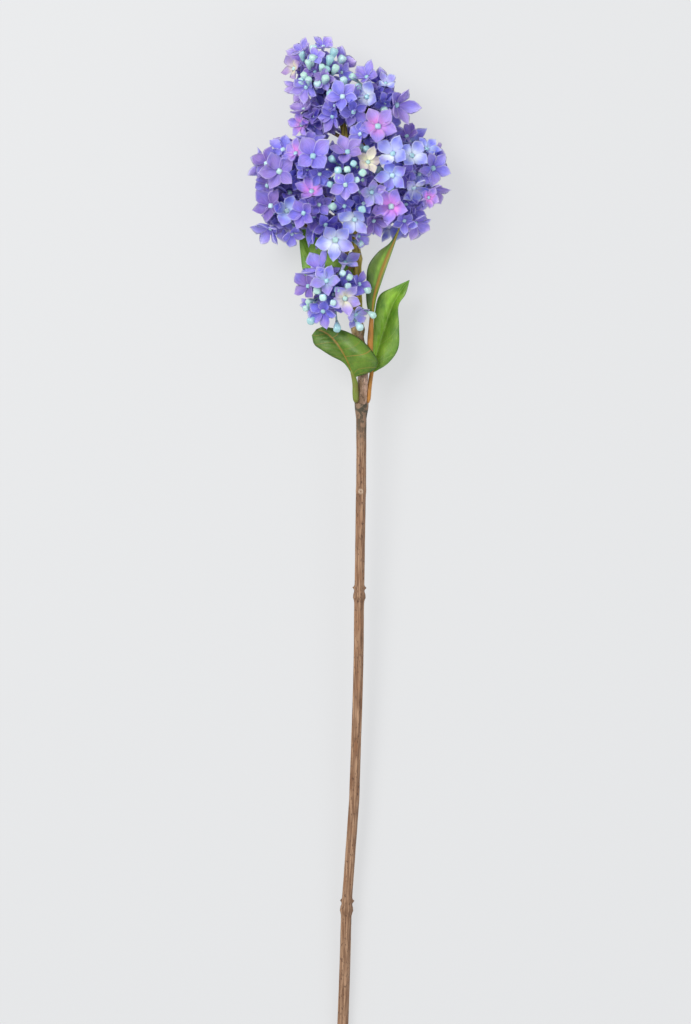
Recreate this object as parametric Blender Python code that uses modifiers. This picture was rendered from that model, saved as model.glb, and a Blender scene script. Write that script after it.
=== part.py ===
"""Lilac stem: a cut woody stem with its leafy flowering shoot, lying on a surface.

The stem lies along +Y with the flower head at +Y, and rises gently from its cut end, because
the flower head is thick and carries its end of the stem. The origin is under the middle of the
whole piece, on the surface it lies on. Places are given in millimetres: across (X, right of the
middle line), along (from the cut end towards the flower tip) and height above the surface.
"""

import math
import random

import bmesh
import bpy
import numpy as np
from mathutils import Matrix, Vector
from mathutils.bvhtree import BVHTree

MM = 0.001
LENGTH = 720.0
HALF_LENGTH = LENGTH / 2
CUT_END_HEIGHT = 3.62
RISE = 0.0545
GAP = 0.35
SEED = 41

PETAL_WAIST = 0.17
PETAL_SIDE_AT = 0.52
PETAL_TOP_LIFT = 0.35
PETAL_UNDER_DROP = 0.55
PETAL_HALF_WIDTH = {4: 0.42, 5: 0.36}
BEAD_HEIGHT = 1.3
BUD_NECK_RADIUS = 0.85
BUD_RADIUS = 2.1
BUD_LENGTH = 7.0
CORE_RADIUS = 3.6
INNER_SHARE = 0.62
TWIG_RADIUS = 1.3
FACING_FRONT = 0.5
FACING_FILL = 0.25
CUP_RANGE = (0.22, 0.55)
FRONT_ATTEMPTS = 90
FILL_ATTEMPTS = 60
RIM_SHARE = 0.96
RIM_RISE = 0.28
DOME_DIRECTIONS = 44
FILL_RADII = (11.0, 13.5)
SMALL_DOME = 13.0
SMALL_DOME_SHARE = 0.88
OWN_SPACING = 0.61
FRONT_SPACING = 0.6
DOME_SPACING = 0.7
LEAF_THICKNESS = 0.7
LEAF_BOW = 0.14
EDGE_WAVE = 0.045
NODE_RINGS = (110.0, 331.5)
SCALE_OUT = 3.3
SCALE_LIFT = 1.2
SCALE_SIZE = (1.9, 3.0, 1.9)

# The shoot and the stem: across, along, radius
STEM_PATH = [
    (-6.5, 0.0, 3.8), (-5.2, 34.0, 3.8), (-4.0, 68.5, 3.7), (-3.1, 103.0, 3.6), (-2.9, 107.5, 4.5),
    (-2.6, 112.5, 4.3), (-2.4, 116.5, 3.5), (2.5, 184.5, 3.5), (5.0, 257.0, 3.5), (5.7, 288.0, 3.4),
    (6.0, 325.5, 3.4), (6.1, 329.0, 4.0), (6.2, 334.5, 3.9), (6.3, 337.5, 3.4), (7.2, 400.0, 3.4),
    (7.3, 403.5, 3.9), (7.4, 407.0, 3.4), (7.5, 430.0, 3.4), (7.5, 454.0, 3.6), (7.5, 461.0, 4.8),
    (7.5, 465.0, 4.9),
]
SHOOT_PATH = [
    (7.5, 466.0, 3.7), (8.2, 474.0, 3.4), (9.0, 486.5, 3.4), (8.0, 500.0, 3.6), (5.4, 511.0, 3.9),
    (5.0, 516.5, 5.0), (4.9, 521.0, 4.0), (4.8, 540.0, 3.3), (4.6, 560.0, 3.1), (4.5, 566.0, 3.8),
    (4.2, 571.0, 3.0), (0.5, 614.0, 2.7), (-4.5, 656.0, 2.3), (-9.5, 674.0, 1.9), (-13.5, 685.0, 1.5),
]

# Each leaf: its midrib and two edges from base to tip as (across, along, lift), and its petiole
# from the shoot to the blade as (across, along, lift, radius). Lift is counted from the height
# of the shoot's middle.
LEAVES = {
    "leaf_left_back": {
        "left": [(3.0, 541.5, -5.6), (-10.0, 545.5, -9.0), (-24.5, 549.5, -12.6), (-32.5, 555.5, -15.4),
                 (-35.2, 570.0, -18.0), (-36.5, 586.0, -20.8), (-36.6, 600.0, -23.0)],
        "rib": [(3.7, 540.5, -5.8), (-4.0, 547.0, -9.6), (-14.0, 552.5, -13.6), (-23.0, 559.5, -16.4),
                (-28.5, 571.5, -18.6), (-32.5, 586.0, -21.6), (-36.0, 601.0, -23.6)],
        "right": [(4.4, 541.5, -5.6), (4.2, 552.0, -8.6), (2.5, 561.0, -11.8), (-1.0, 569.5, -14.6),
                  (-8.5, 579.5, -17.4), (-21.5, 591.5, -20.4), (-35.4, 600.2, -23.0)],
        "petiole": [(4.9, 530.0, -4.6, 1.1), (4.5, 536.0, -5.4, 1.1), (3.2, 544.0, -7.0, 1.0)],
    },
    "leaf_right_upper": {
        "left": [(14.2, 522.0, 2.9), (11.2, 535.0, 5.2), (11.0, 548.0, 6.9), (12.4, 560.5, 8.0),
                 (19.0, 570.0, 9.0), (27.8, 577.0, 10.3), (34.6, 588.6, 12.6)],
        "rib": [(15.0, 521.0, 2.5), (15.9, 537.3, 3.4), (19.6, 550.5, 4.2), (23.2, 560.5, 5.4),
                (26.8, 569.8, 7.0), (30.7, 578.8, 9.4), (35.0, 589.6, 12.6)],
        "right": [(15.8, 522.0, 2.1), (18.0, 537.3, -0.8), (21.8, 549.5, -1.6), (25.4, 560.0, 0.4),
                  (28.8, 569.5, 3.0), (31.9, 578.3, 7.0), (35.4, 588.8, 12.2)],
        "petiole": [(13.3, 496.0, 2.8, 1.6), (13.6, 503.0, 3.0, 1.8), (13.9, 512.0, 3.2, 1.8),
                    (15.0, 529.0, 3.6, 1.1)],
    },
    "leaf_right_lower": {
        "left": [(13.8, 487.0, -4.5), (15.0, 500.0, -6.0), (16.0, 514.0, -7.0), (17.0, 528.0, -7.6),
                 (20.5, 541.0, -7.6), (31.0, 546.8, -6.4), (40.8, 551.2, -4.7)],
        "rib": [(14.5, 485.5, -4.9), (18.5, 500.0, -8.6), (22.0, 512.0, -10.4), (26.0, 524.0, -10.8),
                (30.0, 534.5, -9.8), (35.5, 543.8, -7.4), (41.3, 551.6, -4.7)],
        "right": [(15.5, 486.0, -4.4), (26.5, 493.0, -3.9), (33.6, 503.5, -3.6), (34.2, 519.0, -3.4),
                  (33.8, 533.0, -3.8), (38.8, 541.5, -4.4), (41.5, 550.8, -4.7)],
        "petiole": [(12.8, 466.5, -0.1, 1.4), (13.3, 476.0, -1.9, 1.4), (14.6, 485.0, -4.5, 1.3),
                    (16.4, 494.0, -7.0, 0.9)],
    },
    "leaf_left_front": {
        "left": [(2.0, 483.0, 5.4), (-4.5, 492.5, 7.2), (-13.5, 497.5, 7.9), (-20.5, 502.0, 6.6),
                 (-25.5, 506.0, 3.9), (-27.2, 512.5, -0.5)],
        "rib": [(2.8, 481.5, 4.9), (-2.8, 494.5, 6.5), (-7.5, 503.0, 7.1), (-12.4, 509.7, 5.7),
                (-18.0, 514.5, 1.9), (-24.0, 516.8, -1.7)],
        "right": [(3.6, 483.0, 5.4), (15.5, 487.0, 11.2), (19.0, 494.0, 11.4), (10.5, 506.5, 9.9),
                  (-3.0, 515.0, 5.9), (-19.0, 518.8, -0.3)],
        "petiole": [(3.4, 466.5, 4.7, 1.8), (3.3, 472.0, 4.8, 1.9), (3.0, 479.0, 5.0, 1.7),
                    (0.8, 488.0, 5.7, 1.1)],
    },
}

# Each spray: across, along, height above the shoot, dome radius, half angle of its dome.
# Its florets that show from the front: across, along, radius, petals, turn, tint. Its front buds:
# across, along. Inner florets sit deeper, between the others. The rest of the dome's florets are
# drawn from its tints.
SPRAYS = {
    "spray_tip": {
        "dome": (-22.5, 696.0, -5.0, 18.0, 110),
        "florets": [
            (-33.0, 710.5, 8.5, 5, 80, "mauve"), (-19.0, 714.0, 8.5, 4, 60, "violet"),
            (-39.5, 698.5, 9.0, 4, 120, "cream_mauve"), (-31.0, 685.0, 10.0, 5, 200, "violet"),
            (-24.0, 705.5, 7.0, 4, 20, "violet"), (-6.5, 695.5, 8.5, 4, 50, "violet"),
            (-19.0, 690.0, 8.5, 5, 80, "mauve"),
        ],
        "buds": [(-13.0, 708.5), (-6.5, 705.5), (-32.5, 707.0), (-29.0, 702.0), (-25.5, 711.0),
                 (-20.0, 698.5), (-31.0, 693.5), (-23.0, 688.0), (-18.0, 691.5), (-15.0, 704.0),
                 (-28.5, 690.5), (-11.7, 698.0), (-26.0, 704.5), (-33.7, 690.0), (-17.0, 697.0)],
        "bud_lean": (0.15, 1.1, 0.3),
        "inner": [(-25.0, 696.0, 8.5, 4, 20, "mauve"), (-16.0, 701.0, 8.0, 4, 70, "violet")],
        "tints": ("violet", "mauve"),
    },
    "spray_upper_front": {
        "dome": (-3.0, 672.0, 9.0, 13.0, 95),
        "florets": [(-5.5, 677.0, 12.0, 5, 48, "violet"), (2.0, 666.5, 10.5, 5, 34, "deep"),
                    (-12.5, 664.0, 10.0, 5, 100, "deep")],
        "inner": [(-11.0, 672.0, 9.5, 5, 130, "deep"), (2.0, 675.0, 9.5, 5, 10, "violet")],
        "buds": [(-14.5, 680.5), (-4.5, 686.5), (4.5, 683.0)],
        "tints": ("violet", "deep", "blue"),
    },
    "spray_upper_left": {
        "dome": (-25.0, 662.0, -2.0, 10.0, 100),
        "florets": [(-32.5, 670.0, 10.5, 4, 150, "mauve"), (-34.0, 659.5, 10.0, 5, 170, "pink"),
                    (-20.0, 671.5, 10.5, 5, 100, "deep"), (-16.5, 660.0, 9.5, 5, 300, "deep")],
        "inner": [(-25.0, 665.0, 9.0, 5, 40, "deep")],
        "buds": [],
        "tints": ("mauve", "violet"),
    },
    "spray_upper_right": {
        "dome": (20.0, 677.0, 2.0, 14.0, 100),
        "florets": [(11.5, 692.0, 10.5, 5, 68, "violet"), (12.0, 677.5, 12.5, 4, 35, "pale"),
                    (32.0, 672.5, 12.5, 5, 63, "mauve"), (24.5, 687.5, 7.5, 4, 40, "pale")],
        "inner": [(24.0, 674.0, 9.5, 5, 50, "violet")],
        "buds": [(3.0, 691.0), (13.5, 684.0), (23.5, 668.5)],
        "tints": ("violet", "blue", "pale"),
    },
    "spray_middle_right": {
        "dome": (16.5, 651.5, 14.0, 13.0, 80),
        "florets": [(19.0, 656.0, 14.0, 5, 48, "pink"), (6.5, 651.0, 10.0, 5, 60, "violet")],
        "buds": [(4.5, 644.5)],
        "tints": ("violet", "deep"),
    },
    "spray_left": {
        "dome": (-45.5, 627.0, 3.0, 16.5, 95),
        "florets": [
            (-49.5, 625.5, 14.0, 5, 105, "mauve"), (-58.5, 631.5, 12.0, 4, 150, "plum"),
            (-47.0, 641.0, 12.0, 5, 80, "violet"), (-36.0, 622.0, 10.5, 5, 20, "deep"),
            (-58.0, 616.5, 11.0, 4, 200, "plum"),
        ],
        "inner": [(-44.0, 630.0, 10.0, 5, 45, "plum")],
        "buds": [],
        "tints": ("mauve", "violet", "plum"),
    },
    "spray_left_front": {
        "dome": (-27.0, 630.5, 16.0, 15.0, 80),
        "florets": [(-26.0, 635.0, 14.0, 4, 125, "violet"), (-38.0, 637.5, 10.0, 5, 70, "pink"),
                    (-21.5, 623.0, 9.0, 5, 300, "deep")],
        "inner": [(-30.0, 627.0, 9.5, 5, 80, "deep")],
        "buds": [],
        "tints": ("deep", "violet"),
    },
    "spray_low_left": {
        "dome": (-46.5, 599.0, 0.0, 15.0, 100),
        "florets": [(-55.5, 602.0, 12.5, 5, 130, "plum"), (-44.5, 598.5, 11.0, 4, 250, "blue"),
                    (-41.0, 583.0, 9.0, 4, 270, "violet"), (-60.0, 605.0, 9.0, 4, 170, "plum")],
        "buds": [],
        "tints": ("violet", "deep", "plum"),
    },
    "spray_low_left_front": {
        "dome": (-25.5, 600.0, 14.0, 15.0, 85),
        "florets": [(-27.0, 611.0, 12.0, 5, 100, "pink"), (-32.5, 596.0, 11.0, 5, 110, "deep"),
                    (-17.5, 588.5, 10.5, 5, 60, "deep")],
        "inner": [(-22.0, 602.0, 9.5, 5, 20, "deep")],
        "buds": [(-14.5, 600.5)],
        "tints": ("deep", "violet"),
    },
    "spray_centre": {
        "dome": (1.0, 622.0, 13.0, 23.0, 50),
        "florets": [(-2.0, 638.0, 12.5, 5, 50, "mauve"), (12.0, 631.0, 10.0, 5, 71, "cream"),
                    (-3.5, 615.0, 11.0, 5, 57, "violet"), (14.5, 610.5, 10.5, 5, 20, "lilac")],
        "inner": [(-8.0, 629.0, 10.5, 5, 30, "deep"), (4.0, 628.0, 10.0, 5, 100, "deep"),
                  (8.5, 619.0, 10.0, 5, 0, "deep"), (-10.0, 615.0, 10.0, 5, 60, "deep")],
        "buds": [(-2.0, 625.0), (-7.5, 624.5), (4.0, 618.5), (10.0, 638.5), (6.5, 641.0),
                 (-11.5, 632.0), (-9.0, 620.0), (-13.0, 616.0), (7.5, 623.0), (2.0, 629.0)],
        "tints": ("deep", "violet"),
    },
    "spray_right_front": {
        "dome": (33.0, 629.0, 10.0, 19.0, 70),
        "florets": [(29.5, 637.0, 12.5, 4, 60, "pale"), (42.5, 636.0, 11.0, 4, 50, "pale"),
                    (29.0, 622.0, 12.0, 5, 30, "blue"), (44.0, 614.5, 11.0, 5, 80, "pale")],
        "inner": [(36.0, 624.0, 10.0, 5, 60, "deep")],
        "buds": [(28.5, 614.0), (20.0, 626.5)],
        "tints": ("blue", "pale", "deep"),
    },
    "spray_right": {
        "dome": (47.0, 629.0, -3.0, 16.0, 95),
        "florets": [(57.5, 628.5, 12.5, 5, 340, "violet"), (56.5, 614.5, 11.0, 5, 300, "mauve"),
                    (39.5, 651.0, 10.5, 4, 80, "plum"), (53.5, 642.0, 10.0, 5, 60, "blue"),
                    (48.0, 624.0, 11.0, 5, 20, "blue")],
        "inner": [(53.0, 632.0, 10.0, 5, 10, "violet")],
        "buds": [(53.5, 611.5)],
        "tints": ("violet", "blue", "mauve"),
    },
    "spray_low_right": {
        "dome": (36.0, 602.5, 5.0, 17.0, 95),
        "florets": [(28.5, 601.0, 14.0, 5, 50, "pink"), (50.5, 606.5, 9.0, 4, 320, "pink"),
                    (45.0, 590.0, 11.0, 4, 260, "mauve"), (37.5, 591.5, 9.0, 5, 200, "violet")],
        "inner": [(38.0, 603.0, 9.5, 5, 30, "deep")],
        "buds": [],
        "tints": ("violet", "mauve"),
    },
    "spray_low_middle": {
        "dome": (8.0, 602.5, 12.0, 17.0, 75),
        "florets": [(16.5, 590.5, 10.0, 5, 300, "plum"), (3.0, 592.0, 12.0, 4, 315, "pale"),
                    (-4.5, 601.0, 10.0, 5, 100, "deep")],
        "inner": [(9.0, 603.0, 9.5, 5, 80, "deep")],
        "buds": [(8.0, 598.5), (7.5, 611.5)],
        "tints": ("deep", "violet"),
    },
    "spray_lowest": {
        "dome": (-10.0, 583.5, 8.0, 15.0, 75),
        "florets": [(-10.5, 578.0, 14.5, 5, 50, "pale"), (5.5, 581.0, 9.5, 5, 250, "violet")],
        "buds": [(6.0, 576.0)],
        "tints": ("deep", "blue"),
    },
    "spray_loose_cluster": {
        "dome": (-11.5, 543.0, 9.0, 19.0, 85),
        "florets": [
            (-16.5, 549.0, 11.5, 5, 60, "lilac"), (-4.0, 537.0, 11.5, 5, 200, "cream_lilac"),
            (3.5, 526.5, 10.0, 5, 20, "lilac"), (-4.0, 562.5, 10.5, 5, 40, "lilac"),
            (-29.5, 546.0, 10.5, 4, 200, "plum"), (-19.0, 528.5, 11.0, 5, 280, "deep"),
            (6.0, 547.5, 9.5, 4, 60, "deep"),
        ],
        "inner": [(-12.0, 540.0, 9.0, 5, 30, "violet"), (-3.0, 549.0, 9.0, 5, 70, "deep")],
        "buds": [(-6.0, 553.5), (-1.0, 551.5), (-22.0, 542.5), (-18.5, 538.0), (-28.5, 535.5),
                 (-30.5, 531.0), (-26.0, 524.0), (-9.5, 518.0), (5.0, 519.5), (13.5, 527.0),
                 (11.0, 543.0), (-3.0, 545.0), (-9.5, 543.0), (-12.0, 534.5)],
        "tints": ("lilac", "violet"),
    },
    "spray_back_top": {
        "dome": (-12.0, 678.0, -12.0, 12.0, 100),
        "florets": [], "buds": [], "tints": ("violet", "deep"),
    },
    "spray_back_upper_right": {
        "dome": (16.5, 668.5, -14.0, 13.0, 100),
        "florets": [], "buds": [], "tints": ("violet", "blue"),
    },
    "spray_back_left": {
        "dome": (-35.5, 630.5, -15.0, 17.0, 90),
        "florets": [], "buds": [], "tints": ("violet", "mauve", "plum"),
    },
    "spray_back_right": {
        "dome": (37.0, 635.0, -16.0, 17.0, 90),
        "florets": [], "buds": [], "tints": ("violet", "blue", "pale"),
    },
    "spray_back_centre": {
        "dome": (1.0, 636.0, -18.0, 16.0, 90),
        "florets": [], "buds": [], "tints": ("violet", "deep"),
    },
    "spray_back_low_left": {
        "dome": (-24.0, 599.0, -15.0, 16.0, 90),
        "florets": [], "buds": [], "tints": ("violet", "mauve", "pale"),
    },
    "spray_back_low_right": {
        "dome": (20.0, 601.0, -15.0, 16.0, 90),
        "florets": [], "buds": [], "tints": ("violet", "deep", "pale"),
    },
}

PETAL_COLOUR = (0.24, 0.19, 0.72)
LEAF_COLOUR = (0.14, 0.30, 0.05)
STEM_COLOUR = (0.36, 0.21, 0.12)
SHOOT_COLOUR = (0.22, 0.16, 0.06)


def shoot_height(along):
    """Height of the stem's and the shoot's middle above the surface."""
    return CUT_END_HEIGHT + RISE * along


def lifted(point):
    """A leaf's point, its lift turned into the height above the surface."""
    return Vector((point[0], point[1], shoot_height(point[1]) + point[2]))


def shoot_points(path):
    """The middle points of a stem path, and its radii."""
    points = [Vector((x, y, shoot_height(y))) for x, y, _ in path]
    return points, [radius for _, _, radius in path]


def turned(axis, turn):
    """Axes of a floret that faces along axis, its first petal towards turn in the front view."""
    ref = Vector((math.cos(turn), math.sin(turn), 0.0))
    side = ref - axis * ref.dot(axis)
    if side.length < 0.25:
        ref = Vector((0.0, 0.0, 1.0))
        side = ref - axis * ref.dot(axis)
    side.normalize()
    return Matrix((side, axis.cross(side), axis)).transposed()


def floret_shape(spot, margin=0.0):
    """Corners and triangles of a floret: pointed petals round a raised bead, on a tapered tube.

    margin swells it, to test how near it comes to its neighbours.
    """
    count = spot["petals"]
    radius = spot["radius"] + margin
    half = PETAL_HALF_WIDTH[count] * radius
    cup = spot["cup"]
    waist = PETAL_WAIST * radius + margin
    root = spot["basis"].transposed() @ (spot["root"] - spot["centre"])
    corners = [Vector((0.0, 0.0, BEAD_HEIGHT)), root]
    at = PETAL_SIDE_AT * radius
    level = 0.35 * cup * at
    for i in range(count):
        middle = 2 * math.pi * i / count
        notch = middle + math.pi / count
        out = Vector((math.cos(middle), math.sin(middle), 0.0))
        side = Vector((-out.y, out.x, 0.0))
        corners.append(Vector((waist * math.cos(notch), waist * math.sin(notch), 0.0)))
        corners.append(out * at - side * half + Vector((0.0, 0.0, cup * at)))
        corners.append(out * radius + Vector((0.0, 0.0, cup * radius)))
        corners.append(out * at + side * half + Vector((0.0, 0.0, cup * at)))
        corners.append(out * at * 0.85 + Vector((0.0, 0.0, level + PETAL_TOP_LIFT + margin)))
        corners.append(out * at * 0.85 + Vector((0.0, 0.0, level - PETAL_UNDER_DROP - margin)))
    triangles = []
    for i in range(count):
        here = 2 + 6 * i
        before = 2 + 6 * ((i - 1) % count)
        n1, left, tip, right, top, under = range(here, here + 6)
        triangles += [(0, before, top), (before, left, top), (left, tip, top), (tip, right, top),
                      (right, n1, top), (n1, 0, top)]
        triangles += [(before, under, left), (left, under, tip), (tip, under, right),
                      (right, under, n1), (n1, under, before), (before, 1, n1)]
    return place(corners, spot["basis"], spot["centre"]), triangles


def bud_shape(spot, margin=0.0):
    """Corners and triangles of a closed bud: a four-sided club on a thin stalk."""
    length = spot["radius"] / BUD_RADIUS * BUD_LENGTH
    root = spot["basis"].transposed() @ (spot["root"] - spot["centre"])
    rings = [(Vector((0.0, 0.0, -0.7 * length)), BUD_NECK_RADIUS), (Vector(), spot["radius"])]
    corners = []
    for middle, size in rings:
        for i in range(4):
            angle = math.pi * (0.25 + i / 2)
            step = Vector((math.cos(angle), math.sin(angle), 0.0)) * (size + margin)
            corners.append(middle + step)
    corners += [Vector((0.0, 0.0, 0.45 * spot["radius"] + margin)), root]
    triangles = []
    for i in range(4):
        j = (i + 1) % 4
        triangles += [(i, j, 4 + j), (i, 4 + j, 4 + i), (4 + i, 4 + j, 8), (j, i, 9)]
    return place(corners, spot["basis"], spot["centre"]), triangles


def place(corners, basis, centre):
    """Corners turned by a basis and moved to a centre."""
    return [basis @ corner + centre for corner in corners]


def rod_shape(start, end, start_radius, end_radius, sides=5):
    """Corners and triangles of a tapered rod between two points."""
    axis = (end - start).normalized()
    basis = turned(axis, 0.7)
    corners = []
    for middle, size in ((start, start_radius), (end, end_radius)):
        for i in range(sides):
            angle = 2 * math.pi * i / sides
            corners.append(middle + basis @ Vector((math.cos(angle), math.sin(angle), 0)) * size)
    triangles = [(0, i + 1, i) for i in range(1, sides - 1)]
    triangles += [(sides, sides + i, sides + i + 1) for i in range(1, sides - 1)]
    for i in range(sides):
        j = (i + 1) % sides
        triangles += [(i, j, sides + j), (i, sides + j, sides + i)]
    return corners, triangles


def smooth_rail(points, count):
    """count points along a smooth curve through the rail's own points (Catmull-Rom)."""
    rail = np.array([lifted(point) for point in points])
    knots = np.vstack([2 * rail[0] - rail[1], rail, 2 * rail[-1] - rail[-2]])
    spots = np.linspace(0, len(points) - 1, count)
    first = np.minimum(spots.astype(int), len(points) - 2)
    t = (spots - first)[:, None]
    a, b, c, d = (knots[first + k] for k in range(4))
    return 0.5 * (2 * b + (c - a) * t + (2 * a - 5 * b + 4 * c - d) * t ** 2
                  + (3 * b - a - 3 * c + d) * t ** 3)


def leaf_grid(leaf, rows=9, columns=5):
    """Points of a blade, row by row, from its left edge over the midrib to its right edge.

    Each half bows up between rib and edge, most in the middle of the blade, and the edges
    wave a little.
    """
    rails = [smooth_rail(leaf[name], rows) for name in ("left", "rib", "right")]
    along = np.linspace(0, 1, rows)
    grid = np.empty((rows, columns, 3))
    for column, u in enumerate(np.linspace(-1, 1, columns)):
        edge = rails[0] if u < 0 else rails[2]
        share = abs(u)
        line = rails[1] * (1 - share) + edge * share
        width = np.linalg.norm(edge - rails[1], axis=1)
        line[:, 2] += LEAF_BOW * width * 4 * share * (1 - share)
        line[:, 2] += EDGE_WAVE * width * share * np.sin(along * 15 + (0 if u < 0 else 2))
        grid[:, column] = line
    return grid


def grid_triangles(rows, columns):
    """Triangles of a grid of points, each square cut along the same diagonal."""
    triangles = []
    for row in range(rows - 1):
        for column in range(columns - 1):
            a = row * columns + column
            triangles += [(a, a + 1, a + columns + 1), (a, a + columns + 1, a + columns)]
    return triangles


def leaf_guard(leaf):
    """The blade as two sheets, a little above and a little below it, that florets stay off."""
    grid = leaf_grid(leaf)
    rows, columns = grid.shape[:2]
    sheet = [Vector(p) for p in grid.reshape(-1, 3)]
    triangles = grid_triangles(rows, columns)
    lift = Vector((0.0, 0.0, LEAF_THICKNESS))
    corners = [p + lift for p in sheet] + [p - lift for p in sheet]
    size = len(sheet)
    return corners, triangles + [tuple(k + size for k in face) for face in triangles]


class Crowd:
    """What is already in place, so that each new piece can keep clear of other nodes."""

    def __init__(self):
        self.members = []

    def add(self, owner, shape):
        corners, triangles = shape
        middle = sum(corners, Vector()) / len(corners)
        reach = max((corner - middle).length for corner in corners)
        tree = BVHTree.FromPolygons(corners, triangles, all_triangles=True)
        self.members.append((owner, middle, reach, tree))

    def free(self, owner, shape):
        """True where a shape crosses nothing that belongs to another owner."""
        corners, triangles = shape
        middle = sum(corners, Vector()) / len(corners)
        reach = max((corner - middle).length for corner in corners)
        tree = None
        for other, place_, size, other_tree in self.members:
            if other == owner or (place_ - middle).length > size + reach:
                continue
            if tree is None:
                tree = BVHTree.FromPolygons(corners, triangles, all_triangles=True)
            if tree.overlap(other_tree):
                return False
        return True


def add_rods(crowd, owner, points, radii):
    """Put a chain of rods into the crowd."""
    for a, b, size_a, size_b in zip(points, points[1:], radii, radii[1:]):
        crowd.add(owner, rod_shape(a, b, size_a, size_b, 8))


def plan_twigs(crowd):
    """Heart of each spray and where its twig leaves the shoot, clear of the other twigs."""
    points, radii = shoot_points(SHOOT_PATH)
    hearts = {}
    for name, spray in SPRAYS.items():
        x, y, lift, _, _ = spray["dome"]
        hearts[name] = Vector((x, y, shoot_height(y) + lift))
    for name, heart in hearts.items():
        crowd.add(name, rod_shape(heart - Vector((0, 0, CORE_RADIUS)),
                                  heart + Vector((0, 0, CORE_RADIUS)), CORE_RADIUS, CORE_RADIUS))
    twigs = {}
    for name, heart in hearts.items():
        for share in (0.7, 0.55, 0.85, 0.4, 1.0, 0.25, 1.2, 0.1, 1.4):
            twig = twig_from(heart, share, points, radii)
            shape = rod_shape(twig, heart, TWIG_RADIUS + GAP, TWIG_RADIUS + GAP)
            if crowd.free(name, shape):
                break
        crowd.add(name, shape)
        twigs[name] = twig
    return hearts, twigs


def twig_from(heart, share, points, radii):
    """Point just off the shoot's skin from which a twig runs up and out to a spray's heart.

    The twig leaves the shoot lower than the heart by a share of its distance from the shoot.
    """
    level = np.interp(heart.y, [p.y for p in points], [p.x for p in points])
    away = math.hypot(heart.x - level, heart.z - shoot_height(heart.y))
    start_y = min(max(heart.y - share * away, points[9].y), points[-1].y)
    if away < 3.0 or heart.y > points[-1].y:
        start_y = points[-1].y
    x = float(np.interp(start_y, [p.y for p in points], [p.x for p in points]))
    radius = float(np.interp(start_y, [p.y for p in points], radii))
    start = Vector((x, start_y, shoot_height(start_y)))
    line = (heart - start).normalized()
    if start_y == points[-1].y:
        return start + line * (radius + TWIG_RADIUS + GAP)
    grain = (points[-1] - points[-4]).normalized()
    slant = max(0.35, math.sqrt(max(0.0, 1 - line.dot(grain) ** 2)))
    return start + line * ((radius + GAP + 0.25) / slant + TWIG_RADIUS * (1 / slant - 1) + 0.4)


def make_spot(name, kind, heart, direction, reach, radius, petals, turn, cup, tint, tilt):
    """A floret or bud on its spray: reach out from the heart along a direction, tilted a bit."""
    axis = (direction + tilt).normalized()
    return {
        "spray": name, "kind": kind, "centre": heart + direction * reach,
        "basis": turned(axis, turn), "root": heart - direction * (0.5 * CORE_RADIUS),
        "radius": radius, "petals": petals, "cup": cup, "tint": tint,
    }


def spot_shape(spot, margin=0.0):
    """Shape of a floret or of a bud."""
    if spot["kind"] == "bud":
        return bud_shape(spot, margin)
    return floret_shape(spot, margin)


def settle(crowd, spots, name, kind, direction, reach, radius, petals, turn, tint, draw, loose):
    """Place one floret or bud where it crosses no other node and stays above the surface.

    It is tried as given, then nudged in and out, turned, tilted and made a little smaller.
    """
    heart = spots["hearts"][name]
    cup = draw.uniform(*CUP_RANGE)
    facing = Vector((0.0, 0.0, FACING_FILL if loose else FACING_FRONT))
    if kind == "bud":
        facing = Vector(SPRAYS[name].get("bud_lean", facing))
    if direction.z < -0.25:
        facing = Vector()
    for attempt in range(FILL_ATTEMPTS if loose else FRONT_ATTEMPTS):
        ease = attempt / FILL_ATTEMPTS
        push = draw.uniform(-3.0, 5.0) * min(1.0, 2 * ease)
        spin = draw.uniform(-0.6, 0.6) * min(1.0, 2 * ease)
        tilt = facing + Vector([draw.uniform(-1, 1) for _ in range(3)]) * (0.05 + 0.35 * ease)
        size = radius * (1 - 0.22 * ease)
        spot = make_spot(name, kind, heart, direction, reach + push, size, petals, turn + spin,
                         cup + 0.3 * ease * draw.random(), tint, tilt)
        shape = spot_shape(spot)
        low = min(corner.z for corner in shape[0])
        if low < 0.0:
            reach += max(-2.0, low)
            continue
        if crowd.free(name, spot_shape(spot, GAP)):
            crowd.add(name, shape)
            spots["placed"].append(spot)
            return


def front_line(heart, reach, across, along):
    """Line from a spray's heart to its dome, or past its rim, at a place seen from the front."""
    x, y = across - heart.x, along - heart.y
    flat = math.hypot(x, y)
    if flat > RIM_SHARE * reach:
        return Vector((x, y, RIM_RISE * flat))
    return Vector((x, y, math.sqrt(reach ** 2 - flat ** 2)))


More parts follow.
